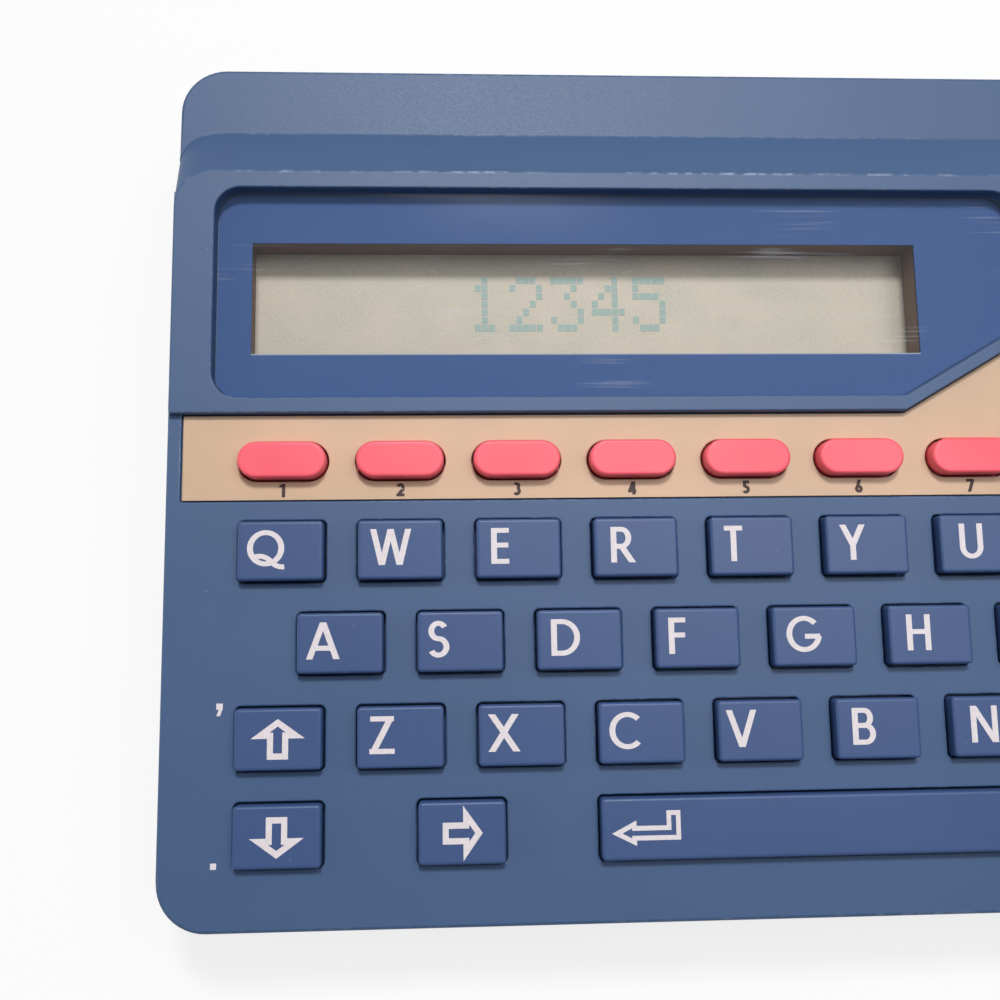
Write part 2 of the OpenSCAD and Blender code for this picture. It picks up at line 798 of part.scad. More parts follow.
// Rounds the long top edges by crossing two rounded profiles
module rounded_top(w, d, low, high, r) {
    edge_z = high - r;
    intersection() {
        rotate([90, 0, 0]) prism(-d, d) {
            translate([-w / 2, low]) square([w, edge_z - low]);
            translate([-w / 2 + r, low]) square([w - 2 * r, high - low]);
            for (sx = [-1, 1]) translate([sx * (w / 2 - r), edge_z]) circle(r);
        }
        rotate([90, 0, 90]) prism(-w, w) {
            translate([-d / 2, low]) square([d, edge_z - low]);
            translate([-d / 2 + r, low]) square([d - 2 * r, high - low]);
            for (sy = [-1, 1]) translate([sy * (d / 2 - r), edge_z]) circle(r);
        }
    }
}

// A key: rounded cap, flange under the deck, and plunger over the board
module key(k) {
    rise = k[4] ? plate_z + pill_rise : key_rise;
    plungers = k[3] > 2 * key_pitch ? [-1, 1] : [0];
    color(k[4] ? "#f2606a" : "#3b5c96") on_deck() at_key(k) {
        intersection() {
            prism(flange_low_z, rise) key_outline(k, 0);
            rounded_top(k[3], key_depth(k), flange_low_z, rise, key_round);
        }
        prism(flange_low_z, flange_top_z) key_outline(k, flange_w);
        for (s = plungers) translate([s * key_pitch, 0, plunger_z])
            cylinder(r = plunger_r, h = flange_low_z - plunger_z);
    }
}

top_case();
bottom_case();
battery_door();
display_window();
window_mask();
lcd_frame();
lcd_glass();
lcd_connectors();
function_plate();
key_mat();
main_board();
board_parts();
battery_cells();
battery_contacts();
screws();
rubber_feet();
for (k = KEYS) key(k);
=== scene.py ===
import json
from math import atan2, ceil, cos, hypot, pi, radians, sin

import bmesh
import bpy
from bpy.props import FloatProperty, FloatVectorProperty, IntProperty, PointerProperty
from bpy.types import Operator, Panel, PropertyGroup
from mathutils import Matrix, Vector
from mathutils.bvhtree import BVHTree


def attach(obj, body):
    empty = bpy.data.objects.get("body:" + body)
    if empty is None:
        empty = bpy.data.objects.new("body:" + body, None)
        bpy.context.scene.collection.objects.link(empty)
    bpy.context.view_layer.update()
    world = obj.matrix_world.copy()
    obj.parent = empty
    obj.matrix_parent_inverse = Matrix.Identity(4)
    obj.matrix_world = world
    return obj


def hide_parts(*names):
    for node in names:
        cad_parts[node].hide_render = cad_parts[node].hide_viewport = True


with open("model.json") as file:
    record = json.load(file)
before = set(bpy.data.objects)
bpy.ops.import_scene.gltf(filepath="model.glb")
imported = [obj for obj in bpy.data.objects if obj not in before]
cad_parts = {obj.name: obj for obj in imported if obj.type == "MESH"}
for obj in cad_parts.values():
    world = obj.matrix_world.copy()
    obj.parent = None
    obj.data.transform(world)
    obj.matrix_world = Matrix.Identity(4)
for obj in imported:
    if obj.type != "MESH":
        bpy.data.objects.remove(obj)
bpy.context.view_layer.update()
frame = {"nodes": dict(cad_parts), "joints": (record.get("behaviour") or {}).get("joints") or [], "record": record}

bl_info = {
    "name": "Electronic Dictionary Looks",
    "version": (1, 0, 0),
    "blender": (4, 5, 0),
    "location": "View3D > Sidebar > Dictionary",
    "description": "Gives the packed electronic dictionary its finishes, lettering and stage",
    "category": "Object",
}

# Shapes are drawn in millimetres and placed in metres
MM = 0.001
RECORD = frame["record"]
BODY_OF = {
    node: body
    for body, nodes in RECORD["behaviour"]["bodies"].items()
    for node in nodes
}

# Keys in their order on the deck
TOP_ROW = "qwertyuiop"
HOME_ROW = "asdfghjkl"
LOW_ROW = "zxcvbnm"
LETTER_KEYS = {f"key_{letter}": letter.upper() for letter in TOP_ROW + HOME_ROW + LOW_ROW}
SIGN_KEYS = {
    "up_arrow_key": "up",
    "down_arrow_key": "down",
    "left_arrow_key": "left",
    "right_arrow_key": "right",
    "question_key": "?",
    "star_key": "*",
    "enter_key": "return",
    "space_key": "space",
}
BUTTONS = [f"function_button_{number}" for number in range(1, 11)]

# How far a letter stands to the right of its usual place on the key, in mm
NUDGE = {
    "W": 0.3, "E": 0.5, "R": 0.7, "T": 0.4, "Y": 0.45, "U": 1.0, "D": 0.4, "F": 0.3, "G": 0.35,
    "H": 0.8, "Z": 0.25, "V": -0.2, "B": 0.6, "N": 0.8,
}


def rgb(red, green, blue):
    """The linear colour of an sRGB colour written in 0 to 255."""
    return tuple(((value / 255 + 0.055) / 1.055) ** 2.4 for value in (red, green, blue))


def colour(name, description, *levels):
    return FloatVectorProperty(
        name=name,
        description=description,
        default=rgb(*levels),
        subtype="COLOR",
        min=0,
        max=1,
    )


def length(name, description, millimetres):
    return FloatProperty(
        name=name,
        description=description,
        default=millimetres * MM,
        unit="LENGTH",
        precision=5,
    )


def number(name, description, value):
    return FloatProperty(name=name, description=description, default=value)


class CaseSettings(PropertyGroup):
    """Finish of the two case halves and the battery door"""

    colour: colour("Colour", "Blue of the moulded case", 64, 90, 128)
    roughness: number("Roughness", "How dull the case is", 0.5)
    rim: length("Rim", "Rounding of the case's outer edges", 0.35)
    edge: length("Edge", "Rounding of every other edge that shows", 0.16)
    ridge: length("Ridge", "From the middle of the deck to the housing's ridge", 32.675)


class KeySettings(PropertyGroup):
    """Shape and finish of the keys and the function buttons"""

    key_colour: colour("Key colour", "Blue of the letter keys", 58, 82, 128)
    button_colour: colour("Button colour", "Red of the function buttons", 252, 88, 105)
    corner: length("Corner", "Corner radius of a key seen from above", 0.4)
    round: length("Round", "Rounding of a key's top edge", 0.3)
    flange: length("Flange", "Reach of the flange under the deck", 0.5)
    flange_height: length("Flange height", "Thickness of the flange", 1)
    deck_thickness: length("Deck thickness", "Thickness of the deck over the flanges", 1.8)
    plunger: length("Plunger", "Radius of the plunger under a key", 1.5)
    pitch: length("Pitch", "Distance between neighbouring keys", 12.2)


class DisplaySettings(PropertyGroup):
    """Window, mask and dot display"""

    mask_colour: colour("Mask colour", "Blue print under the window", 42, 78, 134)
    wall_colour: colour("Wall colour", "Brown walls round the display", 118, 92, 76)
    glass_colour: colour("Glass colour", "Grey-green of the display glass", 190, 184, 166)
    dot_colour: colour("Dot colour", "Colour of a dark dot", 140, 164, 156)
    dot_width: length("Dot width", "Width of a dot", 0.68)
    dot_depth: length("Dot depth", "Height of a dot on the display", 0.8)
    dot_pitch_x: length("Dot pitch across", "Distance between dots across", 0.76)
    dot_pitch_y: length("Dot pitch up", "Distance between dots upwards", 0.92)
    digit_pitch: length("Digit pitch", "Distance between digits", 4.66)
    digits: IntProperty(name="Digits", description="Plain number that is shown", default=12345)
    view_left: length("Left of the opening", "Left end of the display's opening", -58.65)
    view_right: length("Right of the opening", "Right end of the display's opening", 14.35)
    view_front: length("Front of the opening", "Front edge of the display's opening", 12.825)
    # The lip is a painted highlight: a pale strip standing for the lit cut edge along the opening's front
    lip: length("Lip", "Width of the pale edge along the opening's front", 0.12)


class InsideSettings(PropertyGroup):
    """Screws, feet, cells and the contact spring"""

    screw_radius: length("Screw radius", "Radius of a screw's shank", 1.15)
    head_height: length("Head height", "Height of a screw's head", 1.3)
    recess_length: length("Recess length", "Length of the cross recess", 2.2)
    recess_width: length("Recess width", "Width of the cross recess", 0.5)
    cell_diameter: length("Cell diameter", "Diameter of an AAA cell", 10.5)
    cell_length: length("Cell length", "Length of an AAA cell", 44.5)
    nub_diameter: length("Nub diameter", "Diameter of a cell's button", 3.8)
    nub_length: length("Nub length", "Length of a cell's button", 0.9)
    wire: length("Wire", "Thickness of the contact spring's wire", 0.6)
    spring_length: length("Spring length", "Length of the contact spring", 3)
    spring_turns: IntProperty(name="Spring turns", description="Turns of the spring", default=3)
    foot_round: length("Foot rounding", "Rounding of a foot's lower edge", 0.3)


class LetteringSettings(PropertyGroup):
    """Print on the keys, the plate and the deck"""

    key_colour: colour("Key print", "White print on the keys", 226, 217, 220)
    plate_colour: colour("Plate print", "Dark brown print on the plate", 60, 30, 30)
    cap_height: length("Cap height", "Height of a letter on a key", 3.7)
    stroke: length("Level stroke", "Width of a letter's level strokes", 0.5)
    upright_stroke: length("Upright stroke", "Width of a letter's upright strokes", 0.6)
    number_height: length("Number height", "Height of a number under a button", 1.4)
    number_stroke: length("Number stroke", "Width of a number's stroke", 0.31)
    print_height: length("Print height", "How far the print stands proud", 0.02)


class StageSettings(PropertyGroup):
    """Floor, light and camera"""

    lens: FloatProperty(name="Lens", description="Focal length in mm", default=39.6)
    key_light: number("Key light", "Power of the lamp behind the object, in watts", 14)
    soft_light: number("Soft light", "Power of the broad lamp overhead, in watts", 0.5)
    side_light: number("Side light", "Power of the low lamp on the left, in watts", 2.4)
    fill: number("Fill", "Strength of the light from all sides", 0.19)
    floor_colour: colour("Floor colour", "Colour of the floor", 240, 240, 240)


# Frame of the deck


def joint_axis(name):
    return Vector(next(joint["axis"] for joint in frame["joints"] if joint["name"] == name))


# How far a key's top stands above the deck, in mm, as in the part's source
KEY_RISE = 1.4
PRESS = joint_axis("key_q_press")
DECK_TILT = atan2(PRESS.y, -PRESS.z)
LEAN = Matrix.Rotation(DECK_TILT, 4, "X")


def extent(node, into):
    """Lowest and highest corner of a CAD node after a change of axes, in mm."""
    corners = [into @ vertex.co for vertex in frame["nodes"][node].data.vertices]
    low = Vector(min(corner[axis] for corner in corners) for axis in range(3))
    high = Vector(max(corner[axis] for corner in corners) for axis in range(3))
    return low, high


FROM_METRES = Matrix.Scale(1 / MM, 4)
DECK_Z = (extent("key_q", LEAN.inverted() @ FROM_METRES)[1].z - KEY_RISE) / cos(DECK_TILT)
DECK = Matrix.Translation((0, 0, DECK_Z)) @ LEAN
TO_METRES = Matrix.Scale(MM, 4)
DECK_TO_METRES = TO_METRES @ DECK


def deck_box(node):
    """Lowest and highest corner of a CAD node, in mm along the deck and square to it."""
    return extent(node, DECK_TO_METRES.inverted())


# Materials


def node_of(tree, kind, inputs=None, **settings):
    """Adds a node, sets it, and links or fills its inputs."""
    node = tree.nodes.new(kind)
    for name, value in settings.items():
        setattr(node, name, value)
    for name, value in (inputs or {}).items():
        if isinstance(value, bpy.types.NodeSocket):
            tree.links.new(value, node.inputs[name])
        else:
            node.inputs[name].default_value = value
    return node


def object_coordinates(tree):
    return node_of(tree, "ShaderNodeTexCoord").outputs["Object"]


def noise(tree, place, size, detail=2):
    """Even noise whose lumps are about size mm across."""
    inputs = {"Vector": place, "Scale": 1 / (size * MM), "Detail": detail}
    return node_of(tree, "ShaderNodeTexNoise", inputs).outputs["Fac"]


def remap(tree, value, low, high, new_low, new_high):
    inputs = {
        "Value": value,
        "From Min": low,
        "From Max": high,
        "To Min": new_low,
        "To Max": new_high,
    }
    return node_of(tree, "ShaderNodeMapRange", inputs).outputs["Result"]


def blend_colours(tree, factor, first, second):
    mix = node_of(tree, "ShaderNodeMix", data_type="RGBA")
    for socket, value in ((0, factor), (6, first), (7, second)):
        if isinstance(value, bpy.types.NodeSocket):
            tree.links.new(value, mix.inputs[socket])
        else:
            mix.inputs[socket].default_value = value if socket == 0 else (*value[:3], 1)
    return mix.outputs[2]


def calculate(tree, operation, first, second=0.0):
    node = node_of(tree, "ShaderNodeMath", operation=operation)
    for socket, value in enumerate((first, second)):
        if isinstance(value, bpy.types.NodeSocket):
            tree.links.new(value, node.inputs[socket])
        else:
            node.inputs[socket].default_value = value
    return node.outputs[0]


def multiply(tree, first, second):
    return calculate(tree, "MULTIPLY", first, second)


def two_tones(tree, pattern, first, second, low=0.3, high=0.7):
    """A pattern between two colours; below low it is the first, above high the second."""
    return blend_colours(tree, remap(tree, pattern, low, high, 0, 1), first, second)


def start_material(name):
    material = bpy.data.materials.new(name)
    material.use_nodes = True
    tree = material.node_tree
    return material, tree, tree.nodes["Principled BSDF"]


def shade(colour_value, factor):
    return tuple(min(1, channel * factor) for channel in colour_value[:3])


def paint(tree, shader, tone, roughness):
    """Links a colour and a roughness to the shader."""
    tree.links.new(tone, shader.inputs["Base Color"])
    tree.links.new(roughness, shader.inputs["Roughness"])


def specks(tree, place, spacing, radius):
    """1 inside small round specks that are strewn over the surface, 0 outside."""
    cells = node_of(
        tree,
        "ShaderNodeTexVoronoi",
        {"Vector": place, "Scale": 1 / (spacing * MM), "Randomness": 1},
    )
    return remap(tree, cells.outputs["Distance"], radius / spacing, radius / spacing * 0.6, 0, 1)


def bump(tree, shader, height, depth):
    inputs = {"Height": height, "Strength": 1, "Distance": depth * MM}
    tree.links.new(node_of(tree, "ShaderNodeBump", inputs).outputs[0], shader.inputs["Normal"])


def moulded(name, base, roughness, mottle=0.05, grain=0.22, depth=0.006, dust=0.0, warm=None):
    """Moulded plastic: soft mottling, a fine grain, and dust where asked."""
    material, tree, shader = start_material(name)
    place = object_coordinates(tree)
    broad = noise(tree, place, 14, 3)
    fine = noise(tree, place, grain, 2)
    tone = two_tones(tree, broad, shade(base, 1 - mottle), shade(warm or base, 1 + mottle))
    sheen = remap(tree, fine, 0.25, 0.75, 0, 0.5)
    tone = blend_colours(tree, sheen, tone, shade(base, 1 + 2 * mottle))
    if dust:
        marks = multiply(tree, specks(tree, place, 5.2, 0.11), dust)
        tone = blend_colours(tree, marks, tone, rgb(176, 184, 198))
    paint(tree, shader, tone, remap(tree, fine, 0.2, 0.8, roughness - 0.05, roughness + 0.06))
    bump(tree, shader, fine, depth)
    return material


def worn(name, base, roughness, highlight_colour, ridge):
    """The same plastic along an edge, with a painted highlight in broken pale marks that is strongest on the
    ridge.

    ridge is the ridge's place along Y, in metres.
    """
    material, tree, shader = start_material(name)
    place = object_coordinates(tree)
    # Painted highlight: broken pale marks on the rounded edges, strongest near the ridge and fainter on the other
    # edges
    highlight_marks = multiply(
        tree,
        remap(tree, noise(tree, place, 1.1, 3), 0.46, 0.62, 0, 1),
        remap(tree, noise(tree, place, 17, 1), 0.4, 0.6, 0.1, 0.75),
    )
    along = node_of(tree, "ShaderNodeSeparateXYZ", {"Vector": place}).outputs["Y"]
    away = calculate(tree, "ABSOLUTE", calculate(tree, "SUBTRACT", along, ridge))
    highlight_marks = multiply(tree, highlight_marks, remap(tree, away, 0.0012, 0.0016, 1, 0.3))
    tone = blend_colours(tree, highlight_marks, base, highlight_colour)
    paint(tree, shader, tone, remap(tree, highlight_marks, 0, 1, roughness, roughness + 0.15))
    bump(tree, shader, noise(tree, place, 0.3, 2), 0.006)
    return material


def printed(name, base, roughness=0.55):
    """Print: an ink film whose tone and edge vary a little."""
    material, tree, shader = start_material(name)
    place = object_coordinates(tree)
    film = noise(tree, place, 0.35, 3)
    tone = two_tones(tree, film, shade(base, 0.94), shade(base, 1.05))
    paint(tree, shader, tone, remap(tree, film, 0.3, 0.7, roughness - 0.06, roughness + 0.06))
    bump(tree, shader, film, 0.003)
    return material


def metal(name, base, roughness, brushed=0.12):
    """Plated metal with fine marks from handling."""
    material, tree, shader = start_material(name)
    place = object_coordinates(tree)
    shader.inputs["Metallic"].default_value = 1
    marks = noise(tree, place, brushed, 3)
    tone = two_tones(tree, marks, shade(base, 0.88), shade(base, 1.05))
    paint(tree, shader, tone, remap(tree, marks, 0.3, 0.7, roughness, roughness + 0.15))
    bump(tree, shader, marks, 0.003)
    return material


def clear_window(name):
    """Clear plastic, almost unseen but for hair scratches that catch the light."""
    material, tree, shader = start_material(name)
    place = object_coordinates(tree)
    shader.inputs["Base Color"].default_value = (0.5, 0.56, 0.66, 1)
    turned = {"Vector": place, "Rotation": (0, 0, radians(-12)), "Scale": (70, 1900, 70)}
    stretched = node_of(tree, "ShaderNodeMapping", turned).outputs[0]
    hair = node_of(tree, "ShaderNodeTexNoise", {"Vector": stretched, "Scale": 1, "Detail": 1})
    patches = noise(tree, place, 12, 2)
    scratches = multiply(
        tree,
        remap(tree, hair.outputs["Fac"], 0.66, 0.74, 0, 1),
        remap(tree, patches, 0.47, 0.6, 0, 1),
    )
    tree.links.new(remap(tree, scratches, 0, 1, 0.02, 0.17), shader.inputs["Alpha"])
    tree.links.new(remap(tree, patches, 0.3, 0.7, 0.16, 0.24), shader.inputs["Roughness"])
    bump(tree, shader, patches, 0.02)
    return material


def circuit_board(name):
    """Green lacquer over copper tracks that run across and along the board."""
    material, tree, shader = start_material(name)
    place = object_coordinates(tree)
    ways = []
    for scale, patch in (((900, 60, 60), 9), ((60, 900, 60), 7)):
        stretched = node_of(tree, "ShaderNodeMapping", {"Vector": place, "Scale": scale})
        inputs = {"Vector": stretched.outputs[0], "Scale": 1, "Detail": 0}
        lines = node_of(tree, "ShaderNodeTexNoise", inputs).outputs["Fac"]
        where = remap(tree, noise(tree, place, patch, 0), 0.5, 0.52, 0, 1)
        ways.append(multiply(tree, remap(tree, lines, 0.58, 0.61, 0, 1), where))
    tracks = calculate(tree, "MAXIMUM", *ways)
    lacquer = blend_colours(tree, noise(tree, place, 5, 2), rgb(24, 74, 44), rgb(34, 90, 56))
    tone = blend_colours(tree, tracks, lacquer, rgb(82, 138, 84))
    paint(tree, shader, tone, remap(tree, noise(tree, place, 0.4), 0.3, 0.7, 0.32, 0.45))
    bump(tree, shader, tracks, 0.03)
    return material


def speckled_glass(name, base):
    """Reflective back of a dot display: pale, with a fine silvery speckle."""
    material, tree, shader = start_material(name)
    place = object_coordinates(tree)
    grain = noise(tree, place, 0.16, 2)
    cloud = noise(tree, place, 6, 3)
    tone = two_tones(tree, grain, shade(base, 0.8), shade(base, 1.1))
    warm = blend_colours(tree, remap(tree, cloud, 0.35, 0.65, 0, 0.35), tone, rgb(214, 196, 176))
    paint(tree, shader, warm, remap(tree, grain, 0.3, 0.7, 0.42, 0.6))
    bump(tree, shader, grain, 0.004)
    return material


# Finished pieces


def finish_piece(name, mesh, material, node, replaces=False):
    """Puts a finished mesh into the scene, on the body that carries a CAD node."""
    piece = linked(name, mesh)
    if not mesh.materials:
        mesh.materials.append(material)
    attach(piece, BODY_OF[node])
    if replaces:
        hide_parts(node)
    return piece


def dress(node, material):
    """Gives a CAD node its material."""
    data = frame["nodes"][node].data
    data.materials.clear()
    data.materials.append(material)
    return frame["nodes"][node]


def evaluated_mesh(piece):
    """The plain mesh that an object's modifiers make; the object itself goes."""
    bpy.context.view_layer.update()
    shown = piece.evaluated_get(bpy.context.evaluated_depsgraph_get())
    mesh = bpy.data.meshes.new_from_object(shown)
    bpy.data.objects.remove(piece)
    return mesh


def linked(name, data):
    """A new object of a mesh, lamp or camera, in the scene."""
    piece = bpy.data.objects.new(name, data)
    bpy.context.scene.collection.objects.link(piece)
    return piece


def scratch_object(bm, name="scratch"):
    """An unfinished object made of a bmesh, which is freed."""
    mesh = bpy.data.meshes.new(name)
    bm.to_mesh(mesh)
    bm.free()
    return linked(name, mesh)


# A rounded edge stays within this share of the widest rounding from the sharp one
STRAY_SHARE = 0.45


def softened(node, widths, materials, fold=25):
    """A copy of a CAD node whose sharp edges are rounded, in metres.

    widths(edge) gives the rounding of a sharp edge in mm, or 0. The last of the materials goes
    on the rounded edges. Nothing leaves the node's box.
    """
    bm = bmesh.new()
    bm.from_mesh(frame["nodes"][node].data)
    bm.transform(FROM_METRES)
    bmesh.ops.remove_doubles(bm, verts=bm.verts, dist=0.002)
    bmesh.ops.dissolve_limit(bm, angle_limit=radians(0.4), verts=bm.verts, edges=bm.edges)
    weight = bm.edges.layers.float.new("bevel_weight_edge")
    chosen = {}
    for edge in bm.edges:
        if len(edge.link_faces) == 2 and edge.calc_face_angle(0) > radians(fold):
            chosen[edge] = widths(edge)
    widest = max(chosen.values())
    for edge, width in chosen.items():
        edge[weight] = width / widest
    for face in bm.faces:
        face.smooth = True
    piece = scratch_object(bm)
    for material in materials:
        piece.data.materials.append(material)
    bevel = piece.modifiers.new("Edges", "BEVEL")
    bevel.limit_method = "WEIGHT"
    bevel.width = widest
    bevel.segments = 3
    bevel.material = len(materials) - 1
    bevel.use_clamp_overlap = False
    piece.data.set_sharp_from_angle(angle=radians(fold))
    even = piece.modifiers.new("Even shading", "WEIGHTED_NORMAL")
    even.keep_sharp = True
    surface = BVHTree.FromPolygons(
        [vertex.co for vertex in piece.data.vertices],
        [list(face.vertices) for face in piece.data.polygons],
    )
    mesh = evaluated_mesh(piece)
    low, high = extent(node, FROM_METRES)
    for vertex in mesh.vertices:
        nearest, _, _, gap = surface.find_nearest(vertex.co)
        if gap > widest * STRAY_SHARE:
            vertex.co = nearest
        bounds = zip(vertex.co, low, high)
        vertex.co = Vector(min(max(at, least), most) for at, least, most in bounds)
    mesh.transform(TO_METRES)
    return mesh


def group_of(name, sockets):
    """A Geometry Nodes tree with its geometry in and out and named inputs."""
    tree = bpy.data.node_groups.new(name, "GeometryNodeTree")
    tree.interface.new_socket("Geometry", in_out="INPUT", socket_type="NodeSocketGeometry")
    tree.interface.new_socket("Geometry", in_out="OUTPUT", socket_type="NodeSocketGeometry")
    for label, kind in sockets:
        tree.interface.new_socket(label, in_out="INPUT", socket_type=kind)
    entry = tree.nodes.new("NodeGroupInput")
    leave = tree.nodes.new("NodeGroupOutput")
    return tree, entry, leave


def run_group(piece, tree, values):
    """Evaluates a tree on a scratch object and returns the plain mesh."""
    modifier = piece.modifiers.new(tree.name, "NODES")
    modifier.node_group = tree
    for item in tree.interface.items_tree:
        if item.in_out == "INPUT" and item.name in values:
            modifier[item.identifier] = values[item.name]
    return evaluated_mesh(piece)


def last_steps(tree, leave, geometry, entry):
    """Realizes instances and sets the material, as the last steps of a tree."""
    real = node_of(tree, "GeometryNodeRealizeInstances", {"Geometry": geometry})
    inputs = {"Geometry": real.outputs[0], "Material": entry.outputs["Material"]}
    dressed = node_of(tree, "GeometryNodeSetMaterial", inputs)
    tree.links.new(dressed.outputs[0], leave.inputs[0])


def copies_tree():
    """Copies an object onto each point, turned as the point's attribute says."""
    sockets = (("Copy", "NodeSocketObject"), ("Material", "NodeSocketMaterial"))
    tree, entry, leave = group_of("Copies on points", sockets)
    copy = node_of(tree, "GeometryNodeObjectInfo", {"Object": entry.outputs["Copy"]})
    turn = node_of(
        tree, "GeometryNodeInputNamedAttribute", {"Name": "turn"}, data_type="FLOAT_VECTOR"
    )
    placed = node_of(
        tree,
        "GeometryNodeInstanceOnPoints",
        {
            "Points": entry.outputs["Geometry"],
            "Instance": copy.outputs["Geometry"],
            "Rotation": turn.outputs["Attribute"],
        },
    )
    last_steps(tree, leave, placed.outputs[0], entry)
    return tree


def copies_of(source, places, material, turns=None):
    """One plain mesh, in mm, of a source object at each place and turn."""
    turns = turns or [(0, 0, 0)] * len(places)
    points = bpy.data.meshes.new("points")
    points.from_pydata(places, [], [])
    attribute = points.attributes.new("turn", "FLOAT_VECTOR", "POINT")
    attribute.data.foreach_set("vector", [value for turn in turns for value in turn])
    inputs = {"Copy": source, "Material": material}
    mesh = run_group(linked("points", points), copies_tree(), inputs)
    bpy.data.objects.remove(source)
    return mesh


# Outlines and lofts, in mm


def islands(node, into):
    """Lowest and highest corner of each separate part of a CAD node, after a change of axes."""
    bm = bmesh.new()
    bm.from_mesh(frame["nodes"][node].data)
    bm.transform(into)
    bmesh.ops.remove_doubles(bm, verts=bm.verts, dist=0.002)
    boxes, left = [], set(bm.verts)
    while left:
        part = stack = [left.pop()]
        for vertex in stack:
            for edge in vertex.link_edges:
                other = edge.other_vert(vertex)
                if other in left:
                    left.remove(other)
                    part.append(other)
        low = Vector(min(vertex.co[axis] for vertex in part) for axis in range(3))
        high = Vector(max(vertex.co[axis] for vertex in part) for axis in range(3))
        boxes.append((low, high))
    bm.free()
    return sorted(boxes, key=lambda box: tuple(box[0]))


def top_outline(node):
    """Corners of a convex CAD node's top face, anticlockwise, in mm along the deck."""
    into = DECK_TO_METRES.inverted()
    corners = [into @ vertex.co for vertex in frame["nodes"][node].data.vertices]
    level = max(corner.z for corner in corners)
    top = {(round(c.x, 3), round(c.y, 3)) for c in corners if c.z > level - 0.01}
    middle = [sum(corner[axis] for corner in top) / len(top) for axis in range(2)]
    return sorted(top, key=lambda corner: atan2(corner[1] - middle[1], corner[0] - middle[0]))


def taken_in(points, inset):
    """A convex outline drawn inwards by inset, corner by corner."""
    count = len(points)
    result = []
    for index, point in enumerate(points):
        before, after = Vector(points[index - 1]), Vector(points[(index + 1) % count])
        here = Vector(point)
        first, second = (here - before).normalized(), (after - here).normalized()
        inward = Vector((-first.y - second.y, first.x + second.x)).normalized()
        square = Vector((-first.y, first.x)).dot(inward)
        result.append(tuple(here + inward * inset / max(square, 0.3)))
    return result


def circle(radius, steps=40):
    turns = [2 * pi * index / steps for index in range(steps)]
    return [(radius * cos(turn), radius * sin(turn)) for turn in turns]


def lathe(bm, profile, steps=40):
    """Turns a profile of (radius, height), from the lowest point up, round the Z axis."""
    loft(bm, [lifted(circle(radius, steps), height) for radius, height in profile])


def block(bm, low, high):
    """A plain box between two corners."""
    (x0, y0, z0), (x1, y1, z1) = low, high
    base = [(x0, y0), (x1, y0), (x1, y1), (x0, y1)]
    loft(bm, [lifted(base, z0), lifted(base, z1)])


def without(piece, cutter):
    """A scratch object less another one, as a new scratch object."""
    cut = piece.modifiers.new("Cut", "BOOLEAN")
    cut.operation = "DIFFERENCE"
    cut.solver = "EXACT"
    cut.object = cutter
    mesh = evaluated_mesh(piece)
    bpy.data.objects.remove(cutter)
    return linked("scratch", mesh)


def smooth_scratch(bm):
    """A smooth scratch object in mm."""
    return linked("scratch", smooth_mesh(bm, Matrix.Identity(4)))


def rounded_rectangle(width, depth, radius, steps=6):
    """Points round a rectangle with round corners, anticlockwise."""
    points = []
    for turn, (side, end) in enumerate(((1, 1), (-1, 1), (-1, -1), (1, -1))):
        for step in range(steps + 1):
            angle = (turn + step / steps) * pi / 2
            x = side * (width / 2 - radius) + radius * cos(angle)
            y = end * (depth / 2 - radius) + radius * sin(angle)
            points.append((x, y))
    return points


def cross_outline(long, wide):
    """Corners of an upright cross, anticlockwise."""
    tip, side = long / 2, wide / 2
    arm = [(tip, -side), (tip, side), (side, side)]
    return [turned for turn in range(4) for turned in quarter_turns(arm, turn)]


def quarter_turns(points, turns):
    """Points turned anticlockwise by so many right angles."""
    for _ in range(turns):
        points = [(-y, x) for x, y in points]
    return points


def lifted(points, z, centre=(0, 0)):
    return [(x + centre[0], y + centre[1], z) for x, y in points]


def loft(bm, rings):
    """Skins closed rings from the lowest up, and caps both ends."""
    loops = [[bm.verts.new(point) for point in ring] for ring in rings]
    for low, high in zip(loops, loops[1:]):
        for index, vertex in enumerate(low):
            after = (index + 1) % len(low)
            bm.faces.new((vertex, low[after], high[after], high[index]))
    bm.faces.new(loops[0][::-1])
    bm.faces.new(loops[-1])


def foot_profile(radius, height, round_by, steps=6):
    """(Radius, height) of a disc whose lower edge is round."""
    angles = [index / steps * pi / 2 for index in range(steps + 1)]
    edge = [(radius - round_by * (1 - sin(a)), round_by * (1 - cos(a))) for a in angles]
    return [*edge, (radius, height)]


def round_over(round_by, steps=6):
    """(Inset, drop) of each step of a quarter round, from the wall to the top."""
    for step in range(1, steps + 1):
        angle = step / steps * pi / 2
        yield round_by * (1 - cos(angle)), round_by * (1 - sin(angle))


def smooth_mesh(bm, place, merge=0.0005):
    """A closed, smooth mesh from a bmesh in mm, after a change of axes. The bmesh is freed."""
    bmesh.ops.remove_doubles(bm, verts=bm.verts, dist=merge)
    bmesh.ops.recalc_face_normals(bm, faces=bm.faces)
    for face in bm.faces:
        face.smooth = True
    mesh = bpy.data.meshes.new("piece")
    bm.to_mesh(mesh)
    bm.free()
    mesh.set_sharp_from_angle(angle=radians(35))
    mesh.transform(place)
    return mesh


# Print: strokes joined into closed marks


def bar(start, end, stroke):
    """A straight stroke with square ends."""
    along = Vector(end) - Vector(start)
    side = Vector((-along.y, along.x)).normalized() * stroke / 2
    corners = (
        Vector(start) - side,
        Vector(end) - side,
        Vector(end) + side,
        Vector(start) + side,
    )
    return [tuple(corner) for corner in corners]


def slant(start, end, stroke):
    """A slanting stroke whose ends are level."""
    (x0, y0), (x1, y1) = sorted((start, end), key=lambda point: point[1])
    half = stroke * hypot(x1 - x0, y1 - y0) / (y1 - y0) / 2
    return [(x0 - half, y0), (x0 + half, y0), (x1 + half, y1), (x1 - half, y1)]


